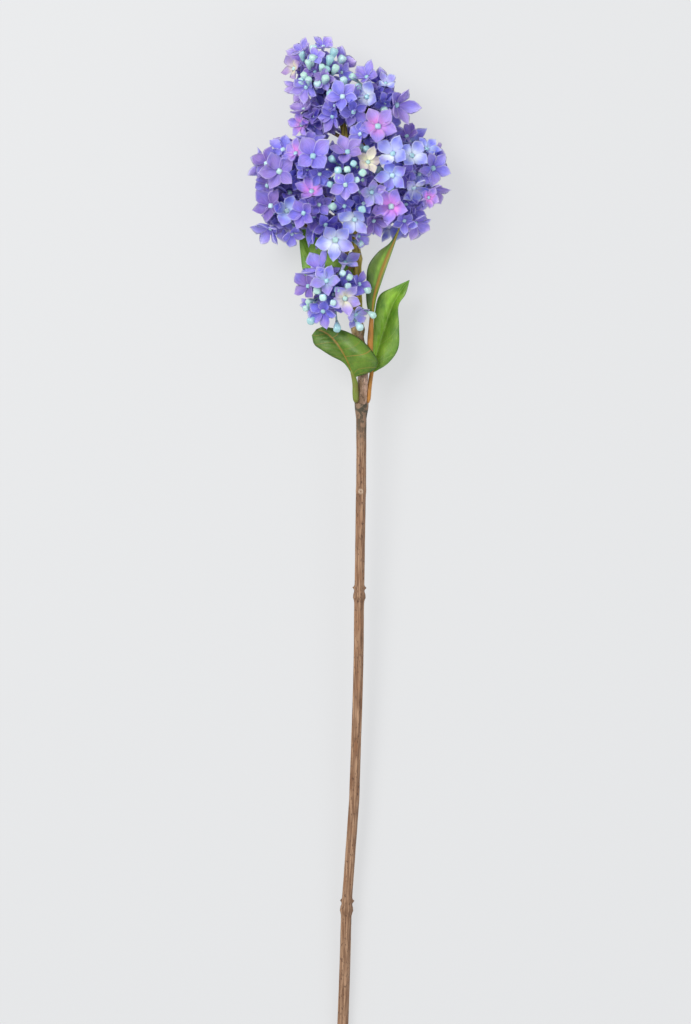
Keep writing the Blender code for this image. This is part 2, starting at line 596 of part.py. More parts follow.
def plan_flowers():
    """Every floret and bud: first those seen from the front, then the rest of each dome."""
    crowd = Crowd()
    add_rods(crowd, "flower_shoot", *shoot_points(SHOOT_PATH))
    for name, leaf in LEAVES.items():
        crowd.add(name, leaf_guard(leaf))
        petiole = leaf["petiole"]
        add_rods(crowd, name, [lifted(p) for p in petiole], [p[3] for p in petiole])
    hearts, twigs = plan_twigs(crowd)
    spots = {"hearts": hearts, "twigs": twigs, "placed": []}
    for name, spray in SPRAYS.items():
        reach = spray["dome"][3]
        inner = spray.get("inner", [])
        for k, (x, y, radius, petals, turn, tint) in enumerate(spray["florets"] + inner):
            draw = random.Random(f"{SEED} {name} floret {k}")
            depth = INNER_SHARE if k >= len(spray["florets"]) else 1.0
            line = front_line(hearts[name], reach * depth, x, y)
            settle(crowd, spots, name, "floret", line.normalized(), line.length, radius, petals,
                   math.radians(turn), tint, draw, False)
    for name, spray in SPRAYS.items():
        reach = spray["dome"][3]
        for k, (x, y) in enumerate(spray["buds"]):
            draw = random.Random(f"{SEED} {name} bud {k}")
            line = front_line(hearts[name], reach, x, y)
            radius = BUD_RADIUS * draw.uniform(0.85, 1.1)
            settle(crowd, spots, name, "bud", line.normalized(), line.length + draw.uniform(1.0, 3.5),
                   radius, 4, draw.uniform(0, 3), "mint", draw, False)
    front = list(spots["placed"])
    for name, spray in SPRAYS.items():
        fill_dome(crowd, spots, front, name, spray)
    return spots


def fill_dome(crowd, spots, front, name, spray):
    """Fill the rest of a spray's dome with florets, evenly spread over directions on a spiral."""
    x, y, lift, reach, half_angle = spray["dome"]
    heart = spots["hearts"][name]
    level = shoot_height(y)
    shoot_x = np.interp(y, [p[1] for p in SHOOT_PATH], [p[0] for p in SHOOT_PATH])
    outward = Vector((x - shoot_x, 6.0 if name != "spray_tip" else 20.0, lift)).normalized()
    for k in range(DOME_DIRECTIONS):
        draw = random.Random(f"{SEED} {name} fill {k}")
        level_z = 1 - 2 * (k + 0.5) / DOME_DIRECTIONS
        angle = k * math.pi * (3 - math.sqrt(5))
        flat = math.sqrt(1 - level_z ** 2)
        line = Vector((flat * math.cos(angle), flat * math.sin(angle), level_z))
        if line.angle(outward) > math.radians(half_angle):
            continue
        radius = draw.uniform(*FILL_RADII) * (SMALL_DOME_SHARE if reach < SMALL_DOME else 1.0)
        spot = heart + line * reach
        if any((spot - other).length < DOME_SPACING * SPRAYS[key]["dome"][3]
               for key, other in spots["hearts"].items() if key != name):
            continue
        if crowded(spots["placed"], front, name, spot, radius, line):
            continue
        petals = draw.choice((4, 5, 5))
        settle(crowd, spots, name, "floret", line, reach, radius, petals, draw.uniform(0, 6.3),
               draw.choice(spray["tints"]), draw, True)


def crowded(placed, front, name, spot, radius, line):
    """True where a new floret would sit too near one of its own spray, or hide a front one."""
    for other in placed:
        if other["kind"] == "bud":
            continue
        apart = (other["centre"] - spot).length
        if other["spray"] == name and apart < OWN_SPACING * (other["radius"] + radius):
            return True
    for other in front:
        flat = (other["centre"] - spot).xy.length
        size = other["radius"] + radius
        above = spot.z - other["centre"].z
        if flat < FRONT_SPACING * size and above > -2.0 and line.z > -0.2:
            return True
        if other["kind"] == "bud" and flat < radius and above > -2.0:
            return True
    return False


def new_object(collection, name, corners, triangles):
    """A mesh object from corners and faces in millimetres."""
    mesh = bpy.data.meshes.new(name)
    mesh.from_pydata([Vector(c) * MM for c in corners], [], triangles)
    mesh.validate()
    item = bpy.data.objects.new(name, mesh)
    collection.objects.link(item)
    return item


def tube_object(collection, name, points, radii, resolution):
    """A tube along points with its own radius at each, as a closed mesh."""
    curve = bpy.data.curves.new(name, "CURVE")
    curve.dimensions = "3D"
    curve.bevel_depth = MM
    curve.bevel_resolution = resolution
    curve.use_fill_caps = True
    spline = curve.splines.new("POLY")
    spline.points.add(len(points) - 1)
    for knot, point, radius in zip(spline.points, points, radii):
        knot.co = (*(point * MM), 1.0)
        knot.radius = radius
    guide = bpy.data.objects.new(name + "_curve", curve)
    bpy.context.scene.collection.objects.link(guide)
    graph = bpy.context.evaluated_depsgraph_get()
    mesh = bpy.data.meshes.new_from_object(guide.evaluated_get(graph))
    weld(mesh)
    item = bpy.data.objects.new(name, mesh)
    item.matrix_world = guide.matrix_world
    collection.objects.link(item)
    bpy.data.objects.remove(guide)
    return item


def weld(mesh):
    """Join the loose caps of a tube to its wall and point every face out."""
    shape = bmesh.new()
    shape.from_mesh(mesh)
    bmesh.ops.remove_doubles(shape, verts=shape.verts, dist=0.00001)
    bmesh.ops.recalc_face_normals(shape, faces=shape.faces)
    shape.to_mesh(mesh)
    shape.free()


def ball_object(collection, name, centre, size):
    """A small twenty-sided ball, stretched to a size along each axis."""
    shape = bmesh.new()
    bmesh.ops.create_icosphere(shape, subdivisions=1, radius=MM)
    stretch = Matrix.Diagonal((*size, 1.0))
    bmesh.ops.transform(shape, matrix=Matrix.Translation(centre * MM) @ stretch, verts=shape.verts)
    mesh = bpy.data.meshes.new(name)
    shape.to_mesh(mesh)
    shape.free()
    item = bpy.data.objects.new(name, mesh)
    collection.objects.link(item)
    return item


def join(base, extras):
    """Fuse a collection's objects into a base by one union, then remove them."""
    union = base.modifiers.new("union", "BOOLEAN")
    union.operation = "UNION"
    union.operand_type = "COLLECTION"
    union.collection = extras
    union.solver = "MANIFOLD"
    graph = bpy.context.evaluated_depsgraph_get()
    graph.update()
    fused = bpy.data.meshes.new_from_object(base.evaluated_get(graph))
    base.modifiers.clear()
    base.data = fused
    for item in list(extras.objects):
        bpy.data.objects.remove(item)
    bpy.data.collections.remove(extras)


def extras_for(name):
    """A collection for what is fused into a node."""
    extras = bpy.data.collections.new(name + "_parts")
    bpy.context.scene.collection.children.link(extras)
    return extras


def material(name, colour, roughness):
    """A plain principled material."""
    finish = bpy.data.materials.new(name)
    finish.use_nodes = True
    shader = finish.node_tree.nodes["Principled BSDF"]
    shader.inputs["Base Color"].default_value = (*colour, 1.0)
    shader.inputs["Roughness"].default_value = roughness
    shader.inputs["Metallic"].default_value = 0.0
    finish.diffuse_color = (*colour, 1.0)
    return finish


def finish_node(item, finish):
    """Give a node its material, and move it so that the origin is under the whole piece."""
    item.data.materials.clear()
    item.data.materials.append(finish)
    item.data.transform(Matrix.Translation((0.0, -HALF_LENGTH * MM, 0.0)))


def build_stem(collection):
    """The woody stem, with its two node rings, their pairs of scales and its flared collar."""
    points, radii = shoot_points(STEM_PATH)
    item = tube_object(collection, "stem", points, radii, 3)
    extras = extras_for("stem")
    for along in NODE_RINGS:
        across = float(np.interp(along, [p[1] for p in STEM_PATH], [p[0] for p in STEM_PATH]))
        for side in (-1, 1):
            centre = Vector((across + side * SCALE_OUT, along, shoot_height(along) + SCALE_LIFT))
            ball_object(extras, "scale", centre, SCALE_SIZE)
    join(item, extras)
    return item


def build_leaf(collection, name, leaf):
    """A leaf: a thin bowed blade, pointed at both ends, with its petiole sunk into its base."""
    grid = leaf_grid(leaf)
    rows, columns = grid.shape[:2]
    grid[0], grid[-1] = grid[0, columns // 2].copy(), grid[-1, columns // 2].copy()
    blade = new_object(collection, name, grid.reshape(-1, 3), grid_triangles(rows, columns))
    weld(blade.data)
    wall = blade.modifiers.new("thickness", "SOLIDIFY")
    wall.thickness = LEAF_THICKNESS * MM
    wall.offset = 0.0
    graph = bpy.context.evaluated_depsgraph_get()
    graph.update()
    blade.data = bpy.data.meshes.new_from_object(blade.evaluated_get(graph))
    blade.modifiers.clear()
    weld(blade.data)
    extras = extras_for(name)
    petiole = leaf["petiole"]
    tube_object(extras, name + "_petiole", [lifted(p) for p in petiole],
                [p[3] for p in petiole], 1)
    join(blade, extras)
    return blade


def build_spray(collection, name, spots):
    """A flower spray: a core on its twig, which every floret's tube and bud's stalk is sunk in."""
    heart = spots["hearts"][name]
    core = ball_object(collection, name, heart, (CORE_RADIUS,) * 3)
    extras = extras_for(name)
    twig = spots["twigs"][name]
    new_object(extras, name + "_twig", *rod_shape(twig, heart, TWIG_RADIUS, TWIG_RADIUS))
    for k, spot in enumerate(spots["placed"]):
        if spot["spray"] == name:
            new_object(extras, f"{name}_{spot['kind']}_{k}", *spot_shape(spot))
    join(core, extras)
    return core


def main():
    for item in list(bpy.data.objects):
        bpy.data.objects.remove(item)
    lilac = bpy.data.collections.new("lilac_stem")
    bpy.context.scene.collection.children.link(lilac)

    bark = material("stem_bark", STEM_COLOUR, 0.7)
    young_bark = material("shoot_bark", SHOOT_COLOUR, 0.65)
    stem = build_stem(lilac)
    finish_node(stem, bark)
    shoot = tube_object(lilac, "flower_shoot", *shoot_points(SHOOT_PATH), 3)
    finish_node(shoot, young_bark)
    for name, leaf in LEAVES.items():
        finish_node(build_leaf(lilac, name, leaf), material(name, LEAF_COLOUR, 0.55))
    spots = plan_flowers()
    for name in SPRAYS:
        finish_node(build_spray(lilac, name, spots), material(name, PETAL_COLOUR, 0.6))


main()
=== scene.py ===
import math
import random

import bpy
import numpy as np
from mathutils import Matrix, Vector
from mathutils.bvhtree import BVHTree


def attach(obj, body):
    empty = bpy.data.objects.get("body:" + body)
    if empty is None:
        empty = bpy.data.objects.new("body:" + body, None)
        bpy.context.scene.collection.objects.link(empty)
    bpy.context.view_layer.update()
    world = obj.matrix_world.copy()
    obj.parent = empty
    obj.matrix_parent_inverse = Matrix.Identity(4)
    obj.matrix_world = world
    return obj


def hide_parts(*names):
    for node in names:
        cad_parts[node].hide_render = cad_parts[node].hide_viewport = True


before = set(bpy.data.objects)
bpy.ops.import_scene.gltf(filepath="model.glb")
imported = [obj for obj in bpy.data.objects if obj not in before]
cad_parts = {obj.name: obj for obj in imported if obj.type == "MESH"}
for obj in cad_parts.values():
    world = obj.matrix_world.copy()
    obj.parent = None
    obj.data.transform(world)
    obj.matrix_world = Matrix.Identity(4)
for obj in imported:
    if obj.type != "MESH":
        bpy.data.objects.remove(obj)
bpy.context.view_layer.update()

# Woody stem. One long cut stem of light tan wood, grooved along its grain, with two rings that
# bear a pair of scales each, a small round scar, and a flared collar of greyer bark at its top.
# It grew as one piece, and rises a little because the flower head holds its end up.

MM = 0.001
HALF_LENGTH = 360.0
CUT_END_HEIGHT = 3.62
RISE = 0.0545
STEM_PATH = [
    (-6.5, 0.0, 3.8), (-5.2, 34.0, 3.8), (-4.0, 68.5, 3.7), (-3.1, 103.0, 3.6), (-2.9, 107.5, 4.1),
    (-2.6, 112.5, 4.0), (-2.4, 116.5, 3.5), (2.5, 184.5, 3.5), (5.0, 257.0, 3.5), (5.7, 288.0, 3.4),
    (6.0, 325.5, 3.4), (6.1, 329.0, 3.9), (6.2, 334.5, 3.8), (6.3, 337.5, 3.4), (7.2, 400.0, 3.4),
    (7.3, 403.5, 3.6), (7.4, 407.0, 3.4), (7.5, 430.0, 3.4), (7.5, 454.0, 3.6), (7.5, 461.0, 4.6),
    (7.5, 465.0, 4.8),
]
STEM_RINGS = (110.0, 331.5)
SCAR_ALONG = 403.0
COLLAR_RIM = 465.0
STEM_ROWS, STEM_AROUND = 520, 60
GROOVE_DEPTH = 0.25


def shoot_height(along):
    """Height of the stem's and the shoot's middle above the surface: a straight rise."""
    return CUT_END_HEIGHT + RISE * along


def bump(place, middle, width):
    """A bell-shaped bump of height 1: e to the minus square of the distance over the width."""
    return np.exp(-((place - middle) / width) ** 2)


def above_floor(height, start=1.0):
    """Heights kept above the surface: below start, start times e to (height / start - 1)."""
    return np.where(height < start, start * np.exp(np.minimum(height / start, 1.0) - 1.0), height)


def angles_round(count):
    """Equal steps of angle round a full turn, from 0."""
    return np.linspace(0, 2 * np.pi, count, endpoint=False)


def path_grid(path, start, rows, around):
    """Place along and angle round on a grid over a path, its middle points, and its radii."""
    knots = np.array(path)
    along = np.linspace(start, knots[-1, 1], rows)
    middles = np.stack([np.interp(along, knots[:, 1], knots[:, 0]), along,
                        shoot_height(along)], -1)
    y, a = np.meshgrid(along, angles_round(around), indexing="ij")
    return y, a, middles, np.interp(y, knots[:, 1], knots[:, 2])


def rings_round(middles, radii, upward=(0.0, 0.0, 1.0)):
    """Rings round a line: each point lies the radius out from the line's middle, at its angle.

    middles is rows x 3, radii is rows x around. Angle 0 points to the line's side, and a quarter
    turn points as near upward as is square to the line.
    """
    heading = np.gradient(middles, axis=0)
    side = np.cross(heading, upward)
    side /= np.linalg.norm(side, axis=1, keepdims=True)
    up = np.cross(side, heading)
    up /= np.linalg.norm(up, axis=1, keepdims=True)
    angle = angles_round(radii.shape[1])[None, :, None]
    return middles[:, None] + radii[..., None] * (np.cos(angle) * side[:, None]
                                                  + np.sin(angle) * up[:, None])


def with_poles(values):
    """Values on skins x rows x around, and after each skin the means of its two end rings."""
    values = np.asarray(values, float)
    count, rows, around, depth = values.shape
    poles = values[:, [0, -1]].mean(axis=2)
    return np.concatenate([values.reshape(count, rows * around, depth), poles], axis=1)


def closed_skins(rings, finish=0, **values):
    """Mesh data of many like skins, each closed by a fan to a pole at either end.

    rings is skins x rows x around x 3, in millimetres. Each of values is an array that spreads
    over skins x rows x around x its depth, and goes into a mesh attribute of its name.
    """
    count, rows, around = rings.shape[:3]
    here = np.arange(around)
    after = (here + 1) % around
    row = np.arange(rows - 1)[:, None] * around
    quads = np.stack([row + here, row + around + here, row + around + after, row + after], -1)
    last = (rows - 1) * around
    start, end = np.full(around, rows * around), np.full(around, rows * around + 1)
    fans = np.concatenate([np.stack([start, here, after], -1),
                           np.stack([last + after, last + here, end], -1)])
    offset = np.arange(count)[:, None, None] * (rows * around + 2)
    points = with_poles(rings)
    # Turn the faces round if the first skin is inside out: its volume is then below zero
    ring_quads = quads.reshape(-1, 4)
    corners = points[0][np.vstack([ring_quads[:, :3], ring_quads[:, [0, 2, 3]], fans])]
    volume = np.einsum("ij,ij->i", corners[:, 0], np.cross(corners[:, 1], corners[:, 2])).sum()
    if volume < 0:
        ring_quads, fans = ring_quads[:, ::-1], fans[:, ::-1]
    data = {"points": points.reshape(-1, 3), "finish": finish,
            "quads": (ring_quads + offset).reshape(-1, 4), "fans": (fans + offset).reshape(-1, 3)}
    for name, value in values.items():
        value = np.asarray(value, float)
        spread = np.broadcast_to(value, (count, rows, around, value.shape[-1]))
        data[name] = with_poles(spread).reshape(-1, value.shape[-1])
    return data


def assemble(name, parts, finishes):
    """One mesh object of several skins, in its place, with their values and finishes."""
    points = np.concatenate([part["points"] for part in parts])
    world = (points - (0.0, HALF_LENGTH, 0.0)) * MM
    faces, slots, start = [], [], 0
    for part in parts:
        for key in ("quads", "fans"):
            faces += (part[key] + start).tolist()
            slots += [part["finish"]] * len(part[key])
        start += len(part["points"])
    mesh = bpy.data.meshes.new(name)
    mesh.from_pydata(world.tolist(), [], faces)
    mesh.polygons.foreach_set("material_index", slots)
    mesh.polygons.foreach_set("use_smooth", [True] * len(faces))
    corners = np.empty(len(mesh.loops), np.int32)
    mesh.loops.foreach_get("vertex_index", corners)
    keys = sorted({key for part in parts for key in part} - {"points", "quads", "fans", "finish"})
    for key in keys:
        depth = next(part[key].shape[-1] for part in parts if key in part)
        values = np.concatenate([part.get(key, np.zeros((len(part["points"]), depth)))
                                 for part in parts])
        if key == "map":
            layer = mesh.uv_layers.new(name="map")
            layer.data.foreach_set("uv", values[corners].astype(np.float32).ravel())
        elif depth == 3:
            layer = mesh.attributes.new(key, "FLOAT_COLOR", "POINT")
            colours = np.hstack([values, np.ones((len(values), 1))])
            layer.data.foreach_set("color", colours.astype(np.float32).ravel())
        else:
            layer = mesh.attributes.new(key, "FLOAT", "POINT")
            layer.data.foreach_set("value", values.astype(np.float32).ravel())
    for finish in finishes:
        mesh.materials.append(finish)
    mesh.update()
    piece = bpy.data.objects.new(name, mesh)
    bpy.context.scene.collection.objects.link(piece)
    return piece


def paint(red, green, blue):
    """A colour given as screen values from 0 to 255, as the linear colour that shaders take."""
    screen = np.array((red, green, blue)) / 255
    return tuple(np.where(screen <= 0.04045, screen / 12.92, ((screen + 0.055) / 1.055) ** 2.4))


def put(tree, kind, *feeds, **settings):
    """A shader node with its settings; its inputs are fed in order by sockets or values."""
    made = tree.nodes.new("ShaderNode" + kind)
    for key, value in settings.items():
        setattr(made, key, value)
    for spot, feed in zip(made.inputs, feeds):
        if isinstance(feed, bpy.types.NodeSocket):
            tree.links.new(feed, spot)
        elif feed is not None:
            spot.default_value = feed
    return made


def maths(tree, operation, *feeds):
    """The result of a Math node."""
    return put(tree, "Math", *feeds, operation=operation).outputs[0]


def ramp(tree, value, low, high, first=0.0, last=1.0):
    """A smooth step of a value from first, at low, to last, at high."""
    return put(tree, "MapRange", value, low, high, first, last,
               interpolation_type="SMOOTHSTEP").outputs[0]


def mix(tree, share, first, second, mode="MIX"):
    """Two colours mixed by a share; each is a socket or a linear colour."""
    made = tree.nodes.new("ShaderNodeMix")
    made.data_type = "RGBA"
    made.blend_type = mode
    for spot, feed in ((0, share), (6, first), (7, second)):
        if isinstance(feed, bpy.types.NodeSocket):
            tree.links.new(feed, made.inputs[spot])
        elif spot:
            made.inputs[spot].default_value = (*feed, 1.0)
        else:
            made.inputs[spot].default_value = feed
    return made.outputs[2]


def noise(tree, vector, scale, detail=3.0, roughness=0.55):
    """The height of a cloudy noise at a vector."""
    made = put(tree, "TexNoise")
    tree.links.new(vector, made.inputs["Vector"])
    for key, value in (("Scale", scale), ("Detail", detail), ("Roughness", roughness)):
        made.inputs[key].default_value = value
    return made.outputs[0]


def stretched(tree, vector, scale):
    """A vector scaled by its own amount along each axis."""
    made = put(tree, "Mapping", vector)
    made.inputs["Scale"].default_value = scale
    return made.outputs[0]


def attribute(tree, name, output="Fac"):
    """An attribute of the mesh, by name."""
    return put(tree, "Attribute", attribute_name=name).outputs[output]


def object_place(tree):
    """The place on the piece, in metres."""
    return put(tree, "TexCoord").outputs["Object"]


def place_along(tree):
    """How far along the stem a point lies, in metres from the middle."""
    return put(tree, "SeparateXYZ", object_place(tree)).outputs[1]


def shaded(tree, colour, shade):
    """A colour multiplied by a shade."""
    return mix(tree, 1.0, colour, put(tree, "CombineXYZ", shade, shade, shade).outputs[0], "MULTIPLY")


def new_finish(name, **sockets):
    """A principled material with its constant values, its node tree and its shader."""
    finish = bpy.data.materials.new(name)
    finish.use_nodes = True
    shader = finish.node_tree.nodes["Principled BSDF"]
    for key, value in sockets.items():
        shader.inputs[key.replace("_", " ")].default_value = value
    return finish, finish.node_tree, shader


def add_bump(tree, shader, height, distance, strength=1.0):
    """A bump of a height, so many metres deep where the height is 1."""
    made = put(tree, "Bump")
    made.inputs["Strength"].default_value = strength
    made.inputs["Distance"].default_value = distance
    tree.links.new(height, made.inputs["Height"])
    tree.links.new(made.outputs[0], shader.inputs["Normal"])


def make_grain_group():
    """Bark grain: long streaks along the stem, broad blotches and sparse dark specks."""
    group = bpy.data.node_groups.new("bark_grain", "ShaderNodeTree")
    group.interface.new_socket("Streak Scale", in_out="INPUT", socket_type="NodeSocketFloat")
    group.interface.new_socket("Speck Share", in_out="INPUT", socket_type="NodeSocketFloat")
    for label in ("Streaks", "Blotches", "Specks", "Height"):
        group.interface.new_socket(label, in_out="OUTPUT", socket_type="NodeSocketFloat")
    given, outs = (group.nodes.new("NodeGroup" + end) for end in ("Input", "Output"))
    place = object_place(group)
    long_way = stretched(group, place, (1.0, 0.045, 1.0))
    fine = put(group, "TexNoise")
    group.links.new(long_way, fine.inputs["Vector"])
    group.links.new(given.outputs[0], fine.inputs["Scale"])
    fine.inputs["Detail"].default_value = 4.0
    blotches = noise(group, stretched(group, place, (1.0, 0.5, 1.0)), 140.0, 4.0, 0.6)
    pores = noise(group, stretched(group, place, (1.0, 0.4, 1.0)), 900.0, 2.0, 0.5)
    specks = maths(group, "GREATER_THAN", pores, maths(group, "SUBTRACT", 1.0, given.outputs[1]))
    height = maths(group, "SUBTRACT", fine.outputs[0], maths(group, "MULTIPLY", specks, 0.6))
    for k, value in enumerate((fine.outputs[0], blotches, specks, height)):
        group.links.new(value, outs.inputs[k])
    return group


grain = make_grain_group()


def add_grain(tree, streak_scale, speck_share):
    """The bark grain in a material, with its own scale and share of specks."""
    made = tree.nodes.new("ShaderNodeGroup")
    made.node_tree = grain
    made.inputs[0].default_value = streak_scale
    made.inputs[1].default_value = speck_share
    return made.outputs


def stem_bark():
    """Light tan wood, streaked darker along the grain, greyer and mottled near the collar."""
    finish, tree, shader = new_finish("stem_bark", Roughness=0.62)
    streaks, blotches, specks, height = add_grain(tree, 900.0, 0.36)
    wood = mix(tree, ramp(tree, streaks, 0.32, 0.68), paint(124, 88, 60), paint(182, 144, 112))
    wood = mix(tree, ramp(tree, blotches, 0.45, 0.7, 0.0, 0.45), wood, paint(150, 102, 66))
    # Painted shade: the groove value darkens the bark in its grooves, round the scales and in a patch
    # below each ring
    painted_groove_shade = ramp(tree, attribute(tree, "groove"), -0.75, 0.0, 0.6, 0.0)
    wood = mix(tree, painted_groove_shade, wood, paint(104, 72, 48))
    wood = mix(tree, maths(tree, "MULTIPLY", specks, 0.7), wood, paint(78, 48, 32))
    wood = mix(tree, attribute(tree, "scar"), wood, paint(214, 190, 164))
    along = place_along(tree)
    patches = noise(tree, object_place(tree), 260.0, 4.0)
    grey = mix(tree, ramp(tree, patches, 0.44, 0.56), paint(74, 68, 52), paint(140, 112, 88))
    top = ramp(tree, maths(tree, "ADD", along, maths(tree, "MULTIPLY", streaks, 0.06)),
               0.100, 0.128)
    tree.links.new(mix(tree, top, wood, grey), shader.inputs["Base Color"])
    add_bump(tree, shader, height, 0.0005, 0.8)
    return finish


def stem_skin():
    """The stem's skin: its radius plus grooves along the grain and bumps at the rings.

    The grooves are cosines of the angle that drift slowly along the stem. Each ring has a
    pair of scales, one to either side: a bell along the stem times a high power of the cosine.
    The scar is a little crater on the upper side, and the collar's rim rises to either side.
    The scar's rim and the grooves also go out as values, deepest at the scales; the grooves' value
    darkens the bark as painted shade.
    """
    y, a, middles, radii = path_grid(STEM_PATH, 0.0, STEM_ROWS, STEM_AROUND)
    drift = 0.6 * np.sin(y / 61) + 0.35 * np.sin(y / 23 + 1)
    relief = 0.11 * np.cos(5 * a + drift) + 0.10 * np.cos(9 * a - 1.4 * drift + 1)
    relief += 0.08 * np.cos(17 * a + 2 * drift) + 0.04 * np.sin(y / 3.1 + 3 * a) * np.sin(y / 11)
    radii += relief
    groove = relief / GROOVE_DEPTH
    sides = np.abs(np.cos(a))
    for middle in STEM_RINGS:
        radii += 0.7 * bump(y, middle - 3.2, 2.6) * sides ** 6 * (0.8 + 0.2 * np.cos(2.3 * y))
        radii += 1.3 * bump(y, middle + 3.6, 0.8) * sides ** 20
        radii -= 0.30 * bump(y, middle + 1.0, 1.1)
        groove -= 1.6 * bump(y, middle + 3.4, 1.6) * sides ** 8
        groove -= 1.1 * bump(y, middle - 5.0, 2.0) * bump(a, 1.1, 0.6)
    away = np.hypot(y - SCAR_ALONG, 3.4 * (a - np.pi / 2))
    rim = bump(away, 1.2, 0.5)
    radii += 0.4 * rim - 0.5 * bump(away, 0.0, 0.6)
    radii += 0.30 * bump(y, COLLAR_RIM - 3.0, 4.0) * np.cos(3 * a + 0.5)
    rings = rings_round(middles, radii)
    rings[..., 1] += bump(y, COLLAR_RIM, 3.0) * np.cos(2 * a + 0.8)
    rings[..., 2] = above_floor(rings[..., 2], 0.2)
    return rings[None], groove[None, ..., None], 0.8 * rim[None, ..., None]


skin, groove, scar = stem_skin()
stem = assemble("stem_wood", [closed_skins(skin, groove=groove, scar=scar)], [stem_bark()])
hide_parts("stem")
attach(stem, "root")

# Flower shoot. The young shoot that stands in the collar: rough brown bark at first, then
# smoother and olive, with two knots. It carries the leaves and every flower twig.

SHOOT_PATH = [
    (7.5, 466.0, 3.7), (8.2, 474.0, 3.4), (9.0, 486.5, 3.4), (8.0, 500.0, 3.6), (5.4, 511.0, 3.9),
    (5.0, 516.5, 5.0), (4.9, 521.0, 4.0), (4.8, 540.0, 3.3), (4.6, 560.0, 3.1), (4.5, 566.0, 3.8),
    (4.2, 571.0, 3.0), (0.5, 614.0, 2.7), (-4.5, 656.0, 2.3), (-9.5, 674.0, 1.9), (-13.5, 685.0, 1.5),
]
SHOOT_FOOT = 463.0
SHOOT_KNOTS = (516.5, 566.0)
SHOOT_ROWS, SHOOT_AROUND = 264, 32


def shoot_bark():
    """Rough mauve-brown bark low down, turning olive and ochre towards the flowers."""
    finish, tree, shader = new_finish("shoot_bark", Roughness=0.42)
    streaks, blotches, specks, height = add_grain(tree, 500.0, 0.38)
    old = mix(tree, ramp(tree, blotches, 0.4, 0.62), paint(126, 98, 74), paint(200, 164, 142))
    young = mix(tree, ramp(tree, streaks, 0.35, 0.65), paint(138, 122, 36), paint(216, 192, 72))
    along = place_along(tree)
    turn = ramp(tree, maths(tree, "ADD", along, maths(tree, "MULTIPLY", blotches, 0.02)),
                0.155, 0.185)
    bark = mix(tree, turn, old, young)
    bark = mix(tree, maths(tree, "MULTIPLY", specks, 0.6), bark, paint(58, 42, 26))
    tree.links.new(bark, shader.inputs["Base Color"])
    add_bump(tree, shader, height, 0.0009, 1.0)
    return finish


def shoot_rings():
    """The shoot's skin: its radius, wrinkled round and along, most where the bark is old.

    It starts inside the collar, swells a little above it, and is lumpy at its knots.
    """
    y, a, middles, radii = path_grid(SHOOT_PATH, SHOOT_FOOT, SHOOT_ROWS, SHOOT_AROUND)
    radii += 0.4 * bump(y, COLLAR_RIM + 3.0, 12.0)
    rough = 0.10 + 0.22 * bump(y, COLLAR_RIM + 1.0, 60.0)
    radii += rough * (np.sin(4 * a + y / 9) * np.cos(y / 4.3 + a) + 0.5 * np.sin(9 * a - y / 2.1))
    for middle in SHOOT_KNOTS:
        radii += 0.35 * bump(y, middle, 2.5) * np.cos(5 * a + 1)
    return rings_round(middles, radii)


shoot = assemble("flower_shoot_skin", [closed_skins(shoot_rings()[None])], [shoot_bark()])
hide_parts("flower_shoot")
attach(shoot, "root")

# Leaves. Four smooth green leaves on short stalks, each a thin blade bowed between its midrib
# and its edges. The midribs and stalks are orange-brown, and paler veins run out to the edges.

